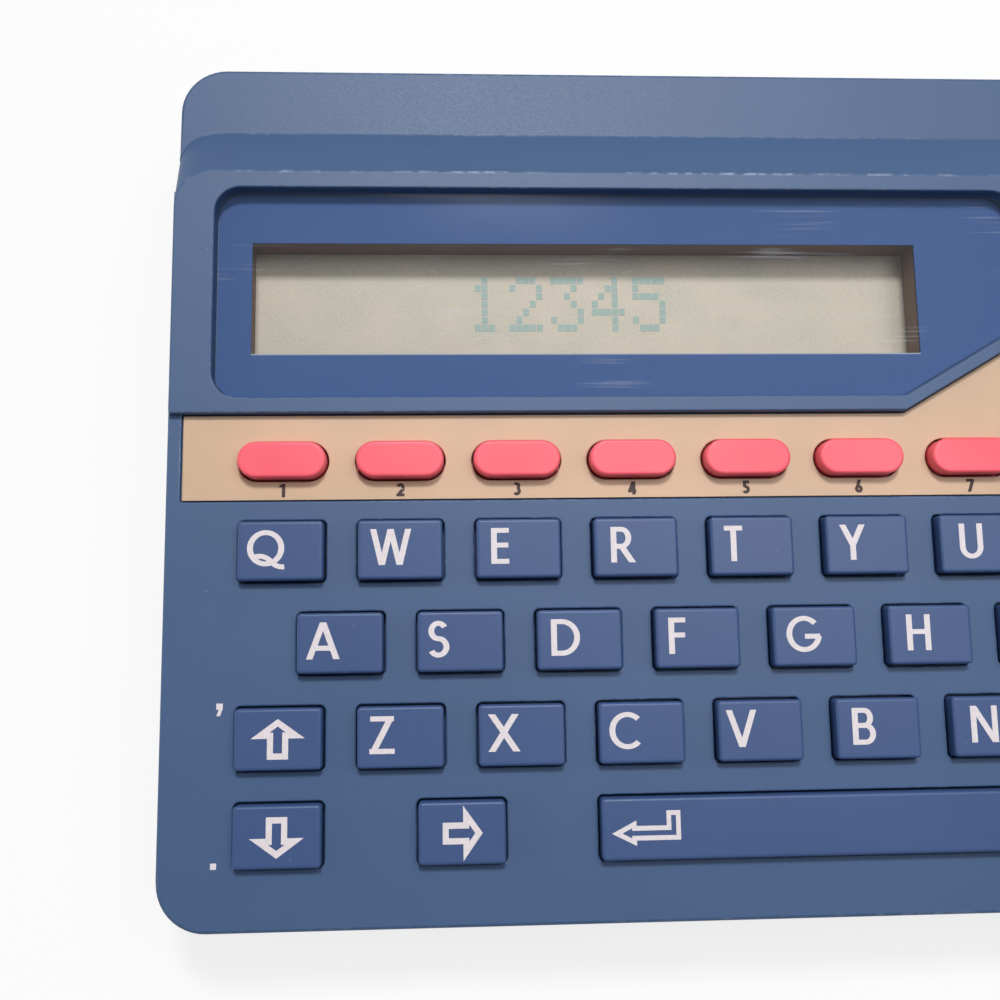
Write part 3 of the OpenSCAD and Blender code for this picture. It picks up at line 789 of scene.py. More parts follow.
def arc(centre, radii, first, last, strokes, step=9):
    """A round stroke from one angle to another, in degrees, with its width across and up."""
    count = max(2, ceil(abs(last - first) / step))
    angles = [radians(first + (last - first) * index / count) for index in range(count + 1)]

    def edge(side):
        reach_x, reach_y = (radius + side * stroke / 2 for radius, stroke in zip(radii, strokes))
        return [(centre[0] + reach_x * cos(a), centre[1] + reach_y * sin(a)) for a in angles]

    points = edge(1) + edge(-1)[::-1]
    return points if last > first else points[::-1]


def band(points, stroke):
    """Strokes along a closed outline with mitred corners, one for each side."""
    count = len(points)
    offsets = []
    for index in range(count):
        here = Vector(points[index])
        before = (here - Vector(points[index - 1])).normalized()
        after = (Vector(points[(index + 1) % count]) - here).normalized()
        normal = Vector((-before.y - after.y, before.x + after.x)).normalized()
        offsets.append(normal * stroke / 2 / max(0.3, normal.dot(Vector((-before.y, before.x)))))
    sides = []
    for index in range(count):
        after = (index + 1) % count
        here, there = Vector(points[index]), Vector(points[after])
        corners = (
            here - offsets[index],
            there - offsets[after],
            there + offsets[after],
            here + offsets[index],
        )
        sides.append([tuple(corner) for corner in corners])
    return sides


def letter_strokes(sign, t, u):
    """Strokes of a capital, digit or mark 1 high: level strokes are t wide and upright ones u."""
    h, k = u / 2, t / 2
    mid = 0.52
    tu = (u, t)

    def level(x0, x1, y):
        return bar((x0, y), (x1, y), t)

    def post(x, low=0, high=1):
        return bar((x, low), (x, high), u)

    def lean(start, end):
        return slant(start, end, u)

    def bow(centre, reach, first, last):
        """A round stroke whose outer edge is reach away from its centre."""
        return arc(centre, (reach[0] - h, reach[1] - k), first, last, tu)

    def bowl(x, low, high, reach):
        """A half round to the right of x, joined to a stem."""
        tall = (high - low) / 2
        curve = bow((x, low + tall), (reach, tall), -90, 90)
        return [level(h, x, high - k), level(h, x, low + k), curve]

    def ring(centre, reach):
        return [bow(centre, reach, -91, 91), bow(centre, reach, 89, 271)]

    glyphs = {
        "A": lambda: [
            lean((h, 0), (0.45, 1)),
            lean((0.9 - h, 0), (0.45, 1)),
            level(0.2, 0.7, 0.3),
        ],
        "B": lambda: [post(h), *bowl(0.34, mid - k, 1, 0.25), *bowl(0.36, 0, mid + k, 0.29)],
        "C": lambda: [bow((0.5, 0.5), (0.5, 0.5), 45, 315)],
        "D": lambda: [post(h), *bowl(0.3, 0, 1, 0.5)],
        "E": lambda: [post(h), level(0, 0.5, 1 - k), level(0, 0.48, mid), level(0, 0.5, k)],
        "F": lambda: [post(h), level(0, 0.48, 1 - k), level(0, 0.46, mid)],
        "G": lambda: [bow((0.5, 0.5), (0.5, 0.5), 42, 352), level(0.52, 1 - h * 0.6, 0.5 - k)],
        "H": lambda: [post(h), post(0.68 - h), level(h, 0.68 - h, mid)],
        "I": lambda: [post(h)],
        "J": lambda: [post(0.46 - h, 0.22), bow((0.23, 0.23), (0.23, 0.23), 190, 361)],
        "K": lambda: [post(h), lean((h, 0.4), (0.6, 1)), lean((0.25, 0.6), (0.66, 0))],
        "L": lambda: [post(h), level(0, 0.47, k)],
        "M": lambda: [
            post(h),
            post(0.98 - h),
            lean((h, 1), (0.49, 0.12)),
            lean((0.98 - h, 1), (0.49, 0.12)),
        ],
        "N": lambda: [post(h), post(0.76 - h), lean((h, 1), (0.76 - h, 0))],
        "O": lambda: ring((0.51, 0.5), (0.51, 0.5)),
        "P": lambda: [post(h), *bowl(0.3, mid - t, 1, 0.28)],
        "Q": lambda: [
            *ring((0.51, 0.5), (0.51, 0.5)),
            arc((0.34, -0.14), (0.42, 0.42), 40, 108, (t, t)),
            arc((0.98, 0.4), (0.42, 0.42), 220, 276, (t, t)),
        ],
        "R": lambda: [post(h), *bowl(0.3, mid - t, 1, 0.28), lean((0.3, mid - k), (0.6, 0))],
        "S": lambda: [
            bow((0.3, 0.723), (0.275, 0.277), 30, 271),
            bow((0.3, 0.723 - 0.5 + k), (0.3, 0.223 + k), -150, 91),
        ],
        "T": lambda: [post(0.26), level(0, 0.52, 1 - k)],
        "U": lambda: [
            post(h, 0.33),
            post(0.68 - h, 0.33),
            bow((0.34, 0.34), (0.34, 0.34), 179, 361),
        ],
        "V": lambda: [lean((h, 1), (0.42, 0)), lean((0.84 - h, 1), (0.42, 0))],
        "W": lambda: [
            lean((h, 1), (0.32, 0)),
            lean((0.565, 1), (0.32, 0)),
            lean((0.565, 1), (0.81, 0)),
            lean((1.13 - h, 1), (0.81, 0)),
        ],
        "X": lambda: [lean((h, 0), (0.73, 1)), lean((h, 1), (0.76, 0))],
        "Y": lambda: [
            lean((h, 1), (0.36, 0.42)),
            lean((0.72 - h, 1), (0.36, 0.42)),
            post(0.36, 0, 0.47),
        ],
        "Z": lambda: [level(0.02, 0.66, 1 - k), level(0, 0.68, k), lean((0.11, k), (0.56, 1 - k))],
        "0": lambda: ring((0.3, 0.5), (0.3, 0.5)),
        "1": lambda: [post(0.34), lean((0.12, 0.74), (0.34, 1))],
        "2": lambda: [
            bow((0.3, 0.7), (0.3, 0.3), -35, 170),
            lean((0.12, k), (0.48, 0.54)),
            level(0, 0.6, k),
        ],
        "3": lambda: [
            bow((0.3, 0.735), (0.27, 0.265), -91, 150),
            bow((0.3, 0.235 + k), (0.3, 0.235 + k), -150, 91),
        ],
        "4": lambda: [post(0.44), level(0, 0.62, 0.27), lean((0.1, 0.22), (0.42, 1))],
        "5": lambda: [
            level(0.08, 0.56, 1 - k),
            post(0.08 + h, 0.5),
            bow((0.29, 0.32), (0.31, 0.32), -150, 128),
        ],
        "6": lambda: [*ring((0.3, 0.3), (0.3, 0.3)), lean((h * 1.3, 0.36), (0.38, 1))],
        "7": lambda: [level(0, 0.6, 1 - k), lean((0.2, 0), (0.5, 1 - k))],
        "8": lambda: [
            *ring((0.3, 0.745), (0.27, 0.255)),
            *ring((0.3, 0.245 + k), (0.3, 0.245 + k)),
        ],
        "9": lambda: [*ring((0.3, 0.7), (0.3, 0.3)), lean((0.22, 0), (0.6 - h * 1.3, 0.64))],
        "?": lambda: [
            bow((0.3, 0.72), (0.3, 0.28), -60, 175),
            post(0.36, 0.24, 0.5),
            post(0.36, 0, t * 1.2),
        ],
        "*": lambda: [
            bar((0.3 - dx, 0.72 - dy), (0.3 + dx, 0.72 + dy), t)
            for dx, dy in ((0, 0.26), (0.23, 0.13), (0.23, -0.13))
        ],
    }
    return glyphs[sign]()


def arrow_strokes(direction, length_of, breadth, shaft, stroke):
    """A hollow arrow round the origin."""
    half, head = length_of / 2, breadth * 0.5
    neck = half - head * 0.72
    outline = [
        (-shaft / 2, -half),
        (shaft / 2, -half),
        (shaft / 2, neck),
        (breadth / 2, neck),
        (0, half),
        (-breadth / 2, neck),
        (-shaft / 2, neck),
    ]
    turn = {"up": 0, "left": pi / 2, "down": pi, "right": -pi / 2}[direction]
    turned = [(x * cos(turn) - y * sin(turn), x * sin(turn) + y * cos(turn)) for x, y in outline]
    return band(turned, stroke)


def return_strokes(width, height, stroke):
    """A hollow arrow that comes down and turns to the left."""
    shaft, head = height * 0.34, height * 0.62
    low = -height / 2 + head / 2
    outline = [
        (-width / 2, low),
        (-width / 2 + head, low - head / 2),
        (-width / 2 + head, low - shaft / 2),
        (width / 2, low - shaft / 2),
        (width / 2, height / 2),
        (width / 2 - shaft, height / 2),
        (width / 2 - shaft, low + shaft / 2),
        (-width / 2 + head, low + shaft / 2),
        (-width / 2 + head, low + head / 2),
    ]
    return band(outline, stroke)


def join_tree():
    """Joins overlapping strokes into one closed mark."""
    tree, entry, leave = group_of("Joined strokes", (("Material", "NodeSocketMaterial"),))
    union = node_of(tree, "GeometryNodeMeshBoolean", operation="UNION", solver="EXACT")
    tree.links.new(entry.outputs["Geometry"], union.inputs["Mesh 2"])
    union.inputs["Self Intersection"].default_value = True
    inputs = {"Geometry": union.outputs["Mesh"], "Distance": 0.0005}
    merged = node_of(tree, "GeometryNodeMergeByDistance", inputs)
    last_steps(tree, leave, merged.outputs[0], entry)
    return tree


# How deep the print reaches into what it is on, in mm
PRINT_ROOT = 0.03


def mark_mesh(strokes, low, high, material, tree):
    """A closed mark, in metres, of strokes drawn in mm on the deck between two levels."""
    bm = bmesh.new()
    for stroke in strokes:
        loft(bm, [lifted(stroke, low), lifted(stroke, high)])
    bmesh.ops.recalc_face_normals(bm, faces=bm.faces)
    mesh = run_group(scratch_object(bm), tree, {"Material": material})
    mesh.transform(DECK_TO_METRES)
    return mesh


def moved(strokes, scale, x, y):
    """Strokes scaled about the origin and then moved."""
    return [[(px * scale + x, py * scale + y) for px, py in stroke] for stroke in strokes]


# Operators


class DressCase(Operator):
    """Rounds the edges of the case halves and the door, and adds screws and feet"""

    bl_idname = "dictionary.dress_case"
    bl_label = "Case"

    # All in mm. Corner radius of the outer wall seen from above
    WALL_CORNER = 5
    # A corner this near to the wall's outline is on it
    ON_WALL = 0.02
    # Lowest place, from the deck, of an edge of the top case that shows
    DECK_EDGES = -3.2
    # Height over the split up to which the top case's wall edges stay sharper
    SPLIT_REACH = 3
    # Height over the base up to which an edge counts as the base's rim, and as seen from below
    BASE_REACH = 0.3
    INNER_HEIGHT = 2.5
    # A screw this near to square stands straight in the axes that it was measured in
    SQUARE_WITHIN = 0.03
    # Profile of a screw's head, as (how far in, how far up) from its lowest, widest place
    HEAD_PROFILE = ((0.45, 0), (0.2, 0.06), (0.05, 0.22), (0, 0.5))
    # Depth of the cross recess, length of the screw's point and its width as a share of the shank
    RECESS_DEPTH = 0.6
    POINT_LENGTH = 0.6
    POINT_SHARE = 0.45

    def execute(self, context):
        settings = context.scene.dictionary_case
        rim, edge = settings.rim / MM, settings.edge / MM
        finish = moulded("Case_plastic", settings.colour, settings.roughness, dust=0.2)
        ridge = (DECK_TO_METRES @ Vector((0, settings.ridge / MM, 0))).y
        # The rounded edges' finish, with a painted highlight of pale marks that is strongest along the ridge
        edges = worn("Case_edge_highlight", settings.colour, settings.roughness, rgb(150, 166, 194), ridge)
        low, high = extent("bottom_case", FROM_METRES)
        split = extent("top_case", FROM_METRES)[0].z
        corner = self.WALL_CORNER

        def on_wall(vertex):
            """True on the upright outer wall, which is a rectangle with round corners."""
            over_x = abs(vertex.co.x) - (high.x - corner)
            over_y = abs(vertex.co.y) - (high.y - corner)
            round_part = over_x > 0 and over_y > 0
            reach = hypot(over_x, over_y) if round_part else max(over_x, over_y)
            return abs(reach - corner) < self.ON_WALL

        def flat_wall(face):
            return abs(face.normal.z) < 0.05 and all(on_wall(vertex) for vertex in face.verts)

        deck = DECK.inverted()

        def shows(edge_of):
            return all((deck @ vertex.co).z > self.DECK_EDGES for vertex in edge_of.verts)

        def behind_ridge(edge_of):
            return all((deck @ vertex.co).y > settings.ridge / MM for vertex in edge_of.verts)

        def top_width(edge_of):
            if not (edge_of.is_convex or behind_ridge(edge_of)):
                return 0
            if any(flat_wall(face) for face in edge_of.link_faces):
                upright = abs(edge_of.verts[0].co.z - edge_of.verts[1].co.z) > 0.5
                highest = max(vertex.co.z for vertex in edge_of.verts)
                return edge if upright or highest < split + self.SPLIT_REACH else rim
            return edge if shows(edge_of) else 0

        def bottom_width(edge_of):
            if not edge_of.is_convex:
                return 0
            if any(flat_wall(face) for face in edge_of.link_faces):
                highest = max(vertex.co.z for vertex in edge_of.verts)
                return rim if highest < low.z + self.BASE_REACH else edge
            lowest = min(vertex.co.z for vertex in edge_of.verts)
            return 0 if lowest > low.z + self.INNER_HEIGHT else edge

        def door_width(edge_of):
            return edge if edge_of.is_convex else 0

        for node, widths in (
            ("top_case", top_width),
            ("bottom_case", bottom_width),
            ("battery_door", door_width),
        ):
            mesh = softened(node, widths, (finish, edges))
            finish_piece(f"{node}_shell", mesh, finish, node, True)
        self.stand_on_feet(context.scene.dictionary_inside)
        self.drive_screws(context.scene.dictionary_inside)
        return {"FINISHED"}

    def stand_on_feet(self, settings):
        """Rubber feet with a round lower edge, one where each foot is."""
        rubber = moulded("Foot_rubber", rgb(44, 45, 50), 0.75, grain=0.12, depth=0.012)
        boxes = islands("rubber_feet", FROM_METRES)
        low, high = boxes[0]
        radius, height, round_by = (high.x - low.x) / 2, high.z - low.z, settings.foot_round / MM
        bm = bmesh.new()
        lathe(bm, foot_profile(radius, height, round_by))
        places = [((low.x + high.x) / 2, (low.y + high.y) / 2, low.z) for low, high in boxes]
        mesh = copies_of(smooth_scratch(bm), places, rubber)
        mesh.transform(TO_METRES)
        finish_piece("feet", mesh, rubber, "rubber_feet", True)

    def drive_screws(self, settings):
        """Screws with a cross recess: the case's stand upright, the board's lean with the deck."""
        steel = metal("Screw_steel", rgb(150, 152, 156), 0.32)
        shank, head_h = settings.screw_radius / MM, settings.head_height / MM
        long, wide = settings.recess_length / MM, settings.recess_width / MM
        upright = islands("screws", FROM_METRES)
        leaning = islands("screws", DECK_TO_METRES.inverted())

        def stands(box):
            """True when a screw is as deep as it is wide, and so stands square to these axes."""
            low, high = box
            return abs((high.y - low.y) - (high.x - low.x)) < self.SQUARE_WITHIN

        places, turns = [], []
        for boxes, into, tilt in ((upright, Matrix.Identity(4), 0), (leaning, DECK, DECK_TILT)):
            for low, high in filter(stands, boxes):
                radius, height = (high.x - low.x) / 2, high.z - low.z
                seat = Vector(((low.x + high.x) / 2, (low.y + high.y) / 2, low.z + head_h))
                places.append(tuple(into @ seat))
                turns.append((tilt, 0, 0))
        bm = bmesh.new()
        lathe(bm, [
            *((radius - inset, up - head_h) for inset, up in self.HEAD_PROFILE),
            (radius, 0),
            (shank, 0),
            (shank, height - head_h - self.POINT_LENGTH),
            (shank * self.POINT_SHARE, height - head_h),
        ])
        cross = bmesh.new()
        depths = (-head_h - 1, -head_h + self.RECESS_DEPTH)
        loft(cross, [lifted(cross_outline(long, wide), z) for z in depths])
        screw = without(smooth_scratch(bm), scratch_object(cross))
        mesh = copies_of(screw, places, steel, turns)
        mesh.transform(TO_METRES)
        finish_piece("screws_turned", mesh, steel, "screws", True)


class DressDisplay(Operator):
    """Builds the window, the printed mask, the display and its dots"""

    bl_idname = "dictionary.dress_display"
    bl_label = "Display"

    # All in mm. Air between the print and the window over it
    PRINT_GAP = 0.03
    # Rounding of the window's upper edge
    WINDOW_ROUND = 0.25
    # Middle of the first digit's upper left dot, on the deck
    FIRST_DOT = (-34.95, 22.6)
    # Thickness and corner radius of a dot
    DOT_THICKNESS = 0.04
    DOT_CORNER = 0.08

    # Dots of each digit, from the top row down, as the five bits of a row
    DIGIT_ROWS = {
        "0": (14, 17, 19, 21, 25, 17, 14),
        "1": (4, 12, 4, 4, 4, 4, 14),
        "2": (14, 17, 1, 2, 4, 8, 31),
        "3": (31, 2, 4, 2, 1, 17, 14),
        "4": (2, 6, 10, 18, 31, 2, 2),
        "5": (31, 16, 30, 1, 1, 17, 14),
        "6": (6, 8, 16, 30, 17, 17, 14),
        "7": (31, 1, 2, 4, 8, 8, 8),
        "8": (14, 17, 17, 14, 17, 17, 14),
        "9": (14, 17, 17, 15, 1, 2, 12),
    }

    def execute(self, context):
        settings = context.scene.dictionary_display
        self.fit_window()
        dress("window_mask", printed("Mask_print", settings.mask_colour, 0.75))
        walls = moulded("Display_frame_plastic", settings.wall_colour, 0.7, grain=0.1)
        dress("lcd_frame", walls)
        dress("lcd_glass", speckled_glass("Display_glass", settings.glass_colour))
        self.lay_lip(settings)
        self.lay_dots(settings)
        return {"FINISHED"}

    def fit_window(self):
        """The window, drawn anew with its cut corner and a soft upper edge."""
        low, high = deck_box("display_window")
        outline, round_by = top_outline("display_window"), self.WINDOW_ROUND
        rings = [lifted(outline, low.z + self.PRINT_GAP), lifted(outline, high.z - round_by)]
        for inset, drop in round_over(round_by):
            rings.append(lifted(taken_in(outline, inset), high.z - drop))
        bm = bmesh.new()
        loft(bm, rings)
        mesh, clear = smooth_mesh(bm, DECK_TO_METRES), clear_window("Window_clear")
        finish_piece("display_cover", mesh, clear, "display_window", True)

    def lay_lip(self, settings):
        """A painted highlight: a pale strip along the front of the display's opening, standing for the mask's lit
        cut edge.
        """
        low, high = deck_box("window_mask")
        left, right = settings.view_left / MM, settings.view_right / MM
        front, width = settings.view_front / MM, settings.lip / MM
        # Painted highlight along the front edge of the opening
        pale = printed("Mask_edge_highlight", rgb(150, 160, 172), 0.6)
        bm = bmesh.new()
        block(bm, (left, front, low.z), (right, front + width, high.z))
        mesh = smooth_mesh(bm, DECK_TO_METRES)
        finish_piece("display_lip", mesh, pale, "window_mask")

    def lay_dots(self, settings):
        """Dots of the digits, half sunk into the display's glass."""
        surface = deck_box("lcd_glass")[1].z
        width, depth = settings.dot_width / MM, settings.dot_depth / MM
        across, up = settings.dot_pitch_x / MM, settings.dot_pitch_y / MM
        digit_pitch = settings.digit_pitch / MM
        first_x, top_y = self.FIRST_DOT
        half = self.DOT_THICKNESS / 2
        level = surface + half / 2
        bm = bmesh.new()
        outline = rounded_rectangle(width, depth, self.DOT_CORNER, 2)
        loft(bm, [lifted(outline, -half), lifted(outline, half)])
        places = [
            (first_x + index * digit_pitch + column * across, top_y - row * up, level)
            for index, digit in enumerate(str(settings.digits))
            for row, bits in enumerate(self.DIGIT_ROWS[digit])
            for column in range(5)
            if bits >> (4 - column) & 1
        ]
        ink = printed("Display_dot", settings.dot_colour, 0.45)
        mesh = copies_of(scratch_object(bm, "dot"), places, ink)
        mesh.transform(DECK_TO_METRES)
        finish_piece("display_dots", mesh, ink, "lcd_glass")


class DressPlate(Operator):
    """Finishes the pale plate and prints plain numbers under its buttons"""

    bl_idname = "dictionary.dress_plate"
    bl_label = "Plate"

    # All in mm. Gap between a button and its number
    NUMBER_GAP = 0.45
    # Step from one figure to the next, and the free space before it, as shares of its height
    ADVANCE = 0.8
    LEAD = 0.1
    # Upright strokes as a share of the level ones
    UPRIGHT_SHARE = 1.15
    # Rounding of the plate's edges as a share of the case's
    EDGE_SHARE = 0.7

    def execute(self, context):
        lettering = context.scene.dictionary_lettering
        edge = context.scene.dictionary_case.edge / MM
        pale, warm = rgb(203, 172, 143), rgb(212, 177, 147)
        plate = moulded("Plate_plastic", pale, 0.45, mottle=0.04, warm=warm)
        face = softened("function_plate", lambda edge_of: edge * self.EDGE_SHARE, (plate,))
        finish_piece("function_plate_face", face, plate, "function_plate", True)
        ink = printed("Plate_print", lettering.plate_colour)
        tree = join_tree()
        height = lettering.number_height / MM
        ratio = lettering.number_stroke / MM / height
        advance = self.ADVANCE * height
        flange = context.scene.dictionary_keys.flange / MM
        surface = deck_box("function_plate")[1].z
        strokes = []
        for index, button in enumerate(BUTTONS):
            low, high = deck_box(button)
            text = str(index + 1)
            start = (low.x + high.x) / 2 - advance * len(text) / 2 + self.LEAD * height
            foot = low.y + flange - self.NUMBER_GAP - height
            for place, sign in enumerate(text):
                figure = letter_strokes(sign, ratio, ratio * self.UPRIGHT_SHARE)
                strokes += moved(figure, height, start + place * advance, foot)
        top = surface + lettering.print_height / MM
        mesh = mark_mesh(strokes, surface - PRINT_ROOT, top, ink, tree)
        finish_piece("plate_numbers", mesh, ink, "function_plate")
        return {"FINISHED"}


# In mm: how far a key's flat top is closed inside its rounding, and how far a plunger reaches
# into the flange
TOP_INSET = 0.1
PLUNGER_ROOT = 0.3


def key_mesh(node, settings, corner=None):
    """A key's cap, flange and plungers in metres, and its width, depth, middle and top in mm.

    Without a corner radius the ends are round.
    """
    flange, round_by = settings.flange / MM, settings.round / MM
    low, high = deck_box(node)
    centre = ((low.x + high.x) / 2, (low.y + high.y) / 2)
    width, depth = high.x - low.x - 2 * flange, high.y - low.y - 2 * flange
    if corner is None:
        corner = depth / 2
    flange_top = -settings.deck_thickness / MM
    flange_low = flange_top - settings.flange_height / MM
    rise = high.z

    def ring(grow, z):
        outline = rounded_rectangle(width + 2 * grow, depth + 2 * grow, corner + grow)
        return lifted(outline, z, centre)

    bm = bmesh.new()
    loft(bm, [
        ring(flange, flange_low),
        ring(flange, flange_top),
        ring(0, flange_top),
        ring(0, rise - round_by),
        *(ring(-inset, rise - drop) for inset, drop in round_over(round_by)),
        ring(-round_by - TOP_INSET, rise),
    ])
    pitch, radius = settings.pitch / MM, settings.plunger / MM
    offsets = (-pitch, pitch) if width > 2 * pitch else (0,)
    plunger = rounded_rectangle(2 * radius, 2 * radius, radius)
    for offset in offsets:
        place = (centre[0] + offset, centre[1])
        levels = (low.z, flange_low + PLUNGER_ROOT)
        loft(bm, [lifted(plunger, level, place) for level in levels])
    return smooth_mesh(bm, DECK_TO_METRES), width, depth, centre, rise


class BuildKeys(Operator):
    """Builds the blue keys and prints their letters and signs"""

    bl_idname = "dictionary.build_keys"
    bl_label = "Keys"

    # All in mm. Length, breadth, shaft and stroke of a straight arrow
    ARROW = (3.3, 3.5, 1.5, 0.6)
    # Width, height and stroke of the return arrow, and its middle from the key's upper left corner
    RETURN_ARROW = (6.2, 2.8, 0.46)
    RETURN_PLACE = (4.6, -2.9)
    # Half width, foot, arm height and stroke of the sign on the space key, from its middle
    SPACE_SIGN = (1.6, -0.6, 0.7, 0.45)
    # Upper left corner of a letter from that of its key
    LETTER_PLACE = (1, -0.95)

    def execute(self, context):
        settings = context.scene.dictionary_keys
        lettering = context.scene.dictionary_lettering
        plastic = moulded("Key_plastic", settings.key_colour, 0.42, mottle=0.05, dust=0.2)
        ink = printed("Key_print", lettering.key_colour)
        tree = join_tree()
        cap, stroke = lettering.cap_height / MM, lettering.stroke / MM
        upright = lettering.upright_stroke / MM
        proud = lettering.print_height / MM
        for node, sign in {**LETTER_KEYS, **SIGN_KEYS}.items():
            mesh, width, depth, centre, rise = key_mesh(node, settings, settings.corner / MM)
            finish_piece(f"{node}_cap", mesh, plastic, node, True)
            left, top = centre[0] - width / 2, centre[1] + depth / 2
            if sign in ("up", "down", "left", "right"):
                strokes = moved(arrow_strokes(sign, *self.ARROW), 1, *centre)
            elif sign == "return":
                right, up = self.RETURN_PLACE
                strokes = moved(return_strokes(*self.RETURN_ARROW), 1, left + right, top + up)
            elif sign == "space":
                strokes = moved(self.space_strokes(), 1, *centre)
            else:
                right, up = self.LETTER_PLACE
                letter = letter_strokes(sign, stroke / cap, upright / cap)
                strokes = moved(letter, cap, left + right + NUDGE.get(sign, 0), top + up - cap)
            mark = mark_mesh(strokes, rise - PRINT_ROOT, rise + proud, ink, tree)
            finish_piece(f"{node}_print", mark, ink, node)
        self.print_deck_marks(ink, tree, proud)
        return {"FINISHED"}

    def space_strokes(self):
        """A level stroke with an arm at each end."""
        reach, foot, arm, stroke = self.SPACE_SIGN
        ends = (stroke / 2 - reach, reach - stroke / 2)
        return [
            bar((-reach, foot), (reach, foot), stroke),
            *(bar((x, foot), (x, arm), stroke) for x in ends),
        ]

    def print_deck_marks(self, ink, tree, proud):
        """Prints the comma and the stop that stand on the deck beside two keys."""
        comma = [
            bar((-61.3, -24), (-60.65, -24), 0.6),
            slant((-60.84, -24.25), (-61.1, -24.95), 0.34),
        ]
        stop = [bar((-61.6, -39.6), (-61, -39.6), 0.6)]
        for name, strokes in (("comma", comma), ("stop", stop)):
            mesh = mark_mesh(strokes, -PRINT_ROOT, proud, ink, tree)
            finish_piece(f"deck_{name}", mesh, ink, "top_case")


class BuildButtons(Operator):
    """Builds the ten red function buttons"""

    bl_idname = "dictionary.build_buttons"
    bl_label = "Function buttons"

    def execute(self, context):
        settings = context.scene.dictionary_keys
        plastic = moulded(
            "Button_plastic", settings.button_colour, 0.4, mottle=0.04, warm=rgb(255, 108, 122)
        )
        for node in BUTTONS:
            mesh = key_mesh(node, settings)[0]
            finish_piece(f"{node}_cap", mesh, plastic, node, True)
        return {"FINISHED"}


class DressInside(Operator):
    """Finishes the mat, the board and its parts, the cells and the contacts"""

    bl_idname = "dictionary.dress_inside"
    bl_label = "Inside"

    # All in mm. Thickness of a cell's jacket, and how far it stays clear of the can's ends
    JACKET = 0.12
    JACKET_ENDS = (0.5, 0.7)
    # Thickness of the plate that the spring stands on
    SPRING_PLATE = 0.4
    # Radius of the spring's first turn as a share of a cell's diameter, and of the last as a share
    # of the first
    SPRING_SHARE = 0.34
    SPRING_TAPER = 0.6

    def execute(self, context):
        dress("key_mat", moulded("Mat_rubber", rgb(120, 124, 130), 0.8, grain=0.3))
        dress("main_board", circuit_board("Board_green"))
        dress("board_parts", moulded("Part_black", rgb(34, 34, 38), 0.5, grain=0.15))
        dress("lcd_connectors", moulded("Connector_rubber", rgb(150, 148, 150), 0.7, grain=0.3))
        self.fill_bay(context.scene.dictionary_inside)
        self.fit_contacts(context.scene.dictionary_inside)
        return {"FINISHED"}

    def fill_bay(self, settings):
        """Two cells, each a printed jacket round a steel can with its button."""
        radius, nub = settings.cell_diameter / MM / 2, settings.nub_diameter / MM / 2
        tall, nub_l = settings.cell_length / MM, settings.nub_length / MM
        low, high = extent("battery_cells", FROM_METRES)
        can = tall - nub_l
        places = [(x, (low.y + high.y) / 2, (low.z + high.z) / 2) for x in (low.x, low.x + tall)]
        turns = [(0, pi / 2, 0)] * 2
        steel = metal("Cell_steel", rgb(188, 188, 186), 0.25)
        jacket = moulded("Cell_jacket", rgb(46, 60, 92), 0.3, mottle=0.08)
        inner = radius - self.JACKET
        jacket_profile = [(radius, self.JACKET_ENDS[0]), (radius, can - self.JACKET_ENDS[1])]
        can_profile = [
            (inner - 0.4, 0), (inner - 0.1, 0.12), (inner, 0.45), (inner, can - 0.5),
            (inner - 0.3, can - 0.1), (inner - 1.2, can), (nub, can),
            (nub, tall - 0.25), (nub - 0.25, tall),
        ]
        for name, finish, profile, replaces in (
            ("cell_jackets", jacket, jacket_profile, True),
            ("cell_cans", steel, can_profile, False),
        ):
            bm = bmesh.new()
            lathe(bm, profile, 64)
            mesh = copies_of(smooth_scratch(bm), places, finish, turns)
            mesh.transform(TO_METRES)
            finish_piece(name, mesh, finish, "battery_cells", replaces)

    def fit_contacts(self, settings):
        """The coil spring follows a conical path beside the contacts' plates."""
        low, high = extent("battery_contacts", FROM_METRES)
        cells = extent("battery_cells", FROM_METRES)
        wire, long = settings.wire / MM, settings.spring_length / MM
        nickel = metal("Contact_nickel", rgb(196, 196, 190), 0.28)
        dress("battery_contacts", nickel)
        wide = settings.cell_diameter / MM * self.SPRING_SHARE
        tree, entry, leave = group_of("Wound spring", (("Material", "NodeSocketMaterial"),))
        path = node_of(tree, "GeometryNodeCurveSpiral", {
            "Resolution": 24, "Rotations": settings.spring_turns,
            "Start Radius": wide, "End Radius": wide * self.SPRING_TAPER, "Height": long,
        })
        section = {"Resolution": 10, "Radius": wire / 2}
        ring = node_of(tree, "GeometryNodeCurvePrimitiveCircle", section)
        tube = node_of(tree, "GeometryNodeCurveToMesh", {
            "Curve": path.outputs[0], "Profile Curve": ring.outputs[0], "Fill Caps": True,
        })
        smooth = node_of(tree, "GeometryNodeSetShadeSmooth", {"Geometry": tube.outputs[0]})
        last_steps(tree, leave, smooth.outputs[0], entry)
        mesh = run_group(scratch_object(bmesh.new()), tree, {"Material": nickel})
        middle = [(cells[0][axis] + cells[1][axis]) / 2 for axis in (1, 2)]
        foot = Matrix.Translation((low.x + self.SPRING_PLATE + wire / 2, *middle))
        mesh.transform(TO_METRES @ foot @ Matrix.Rotation(pi / 2, 4, "Y"))
        finish_piece("contact_spring", mesh, nickel, "battery_contacts")


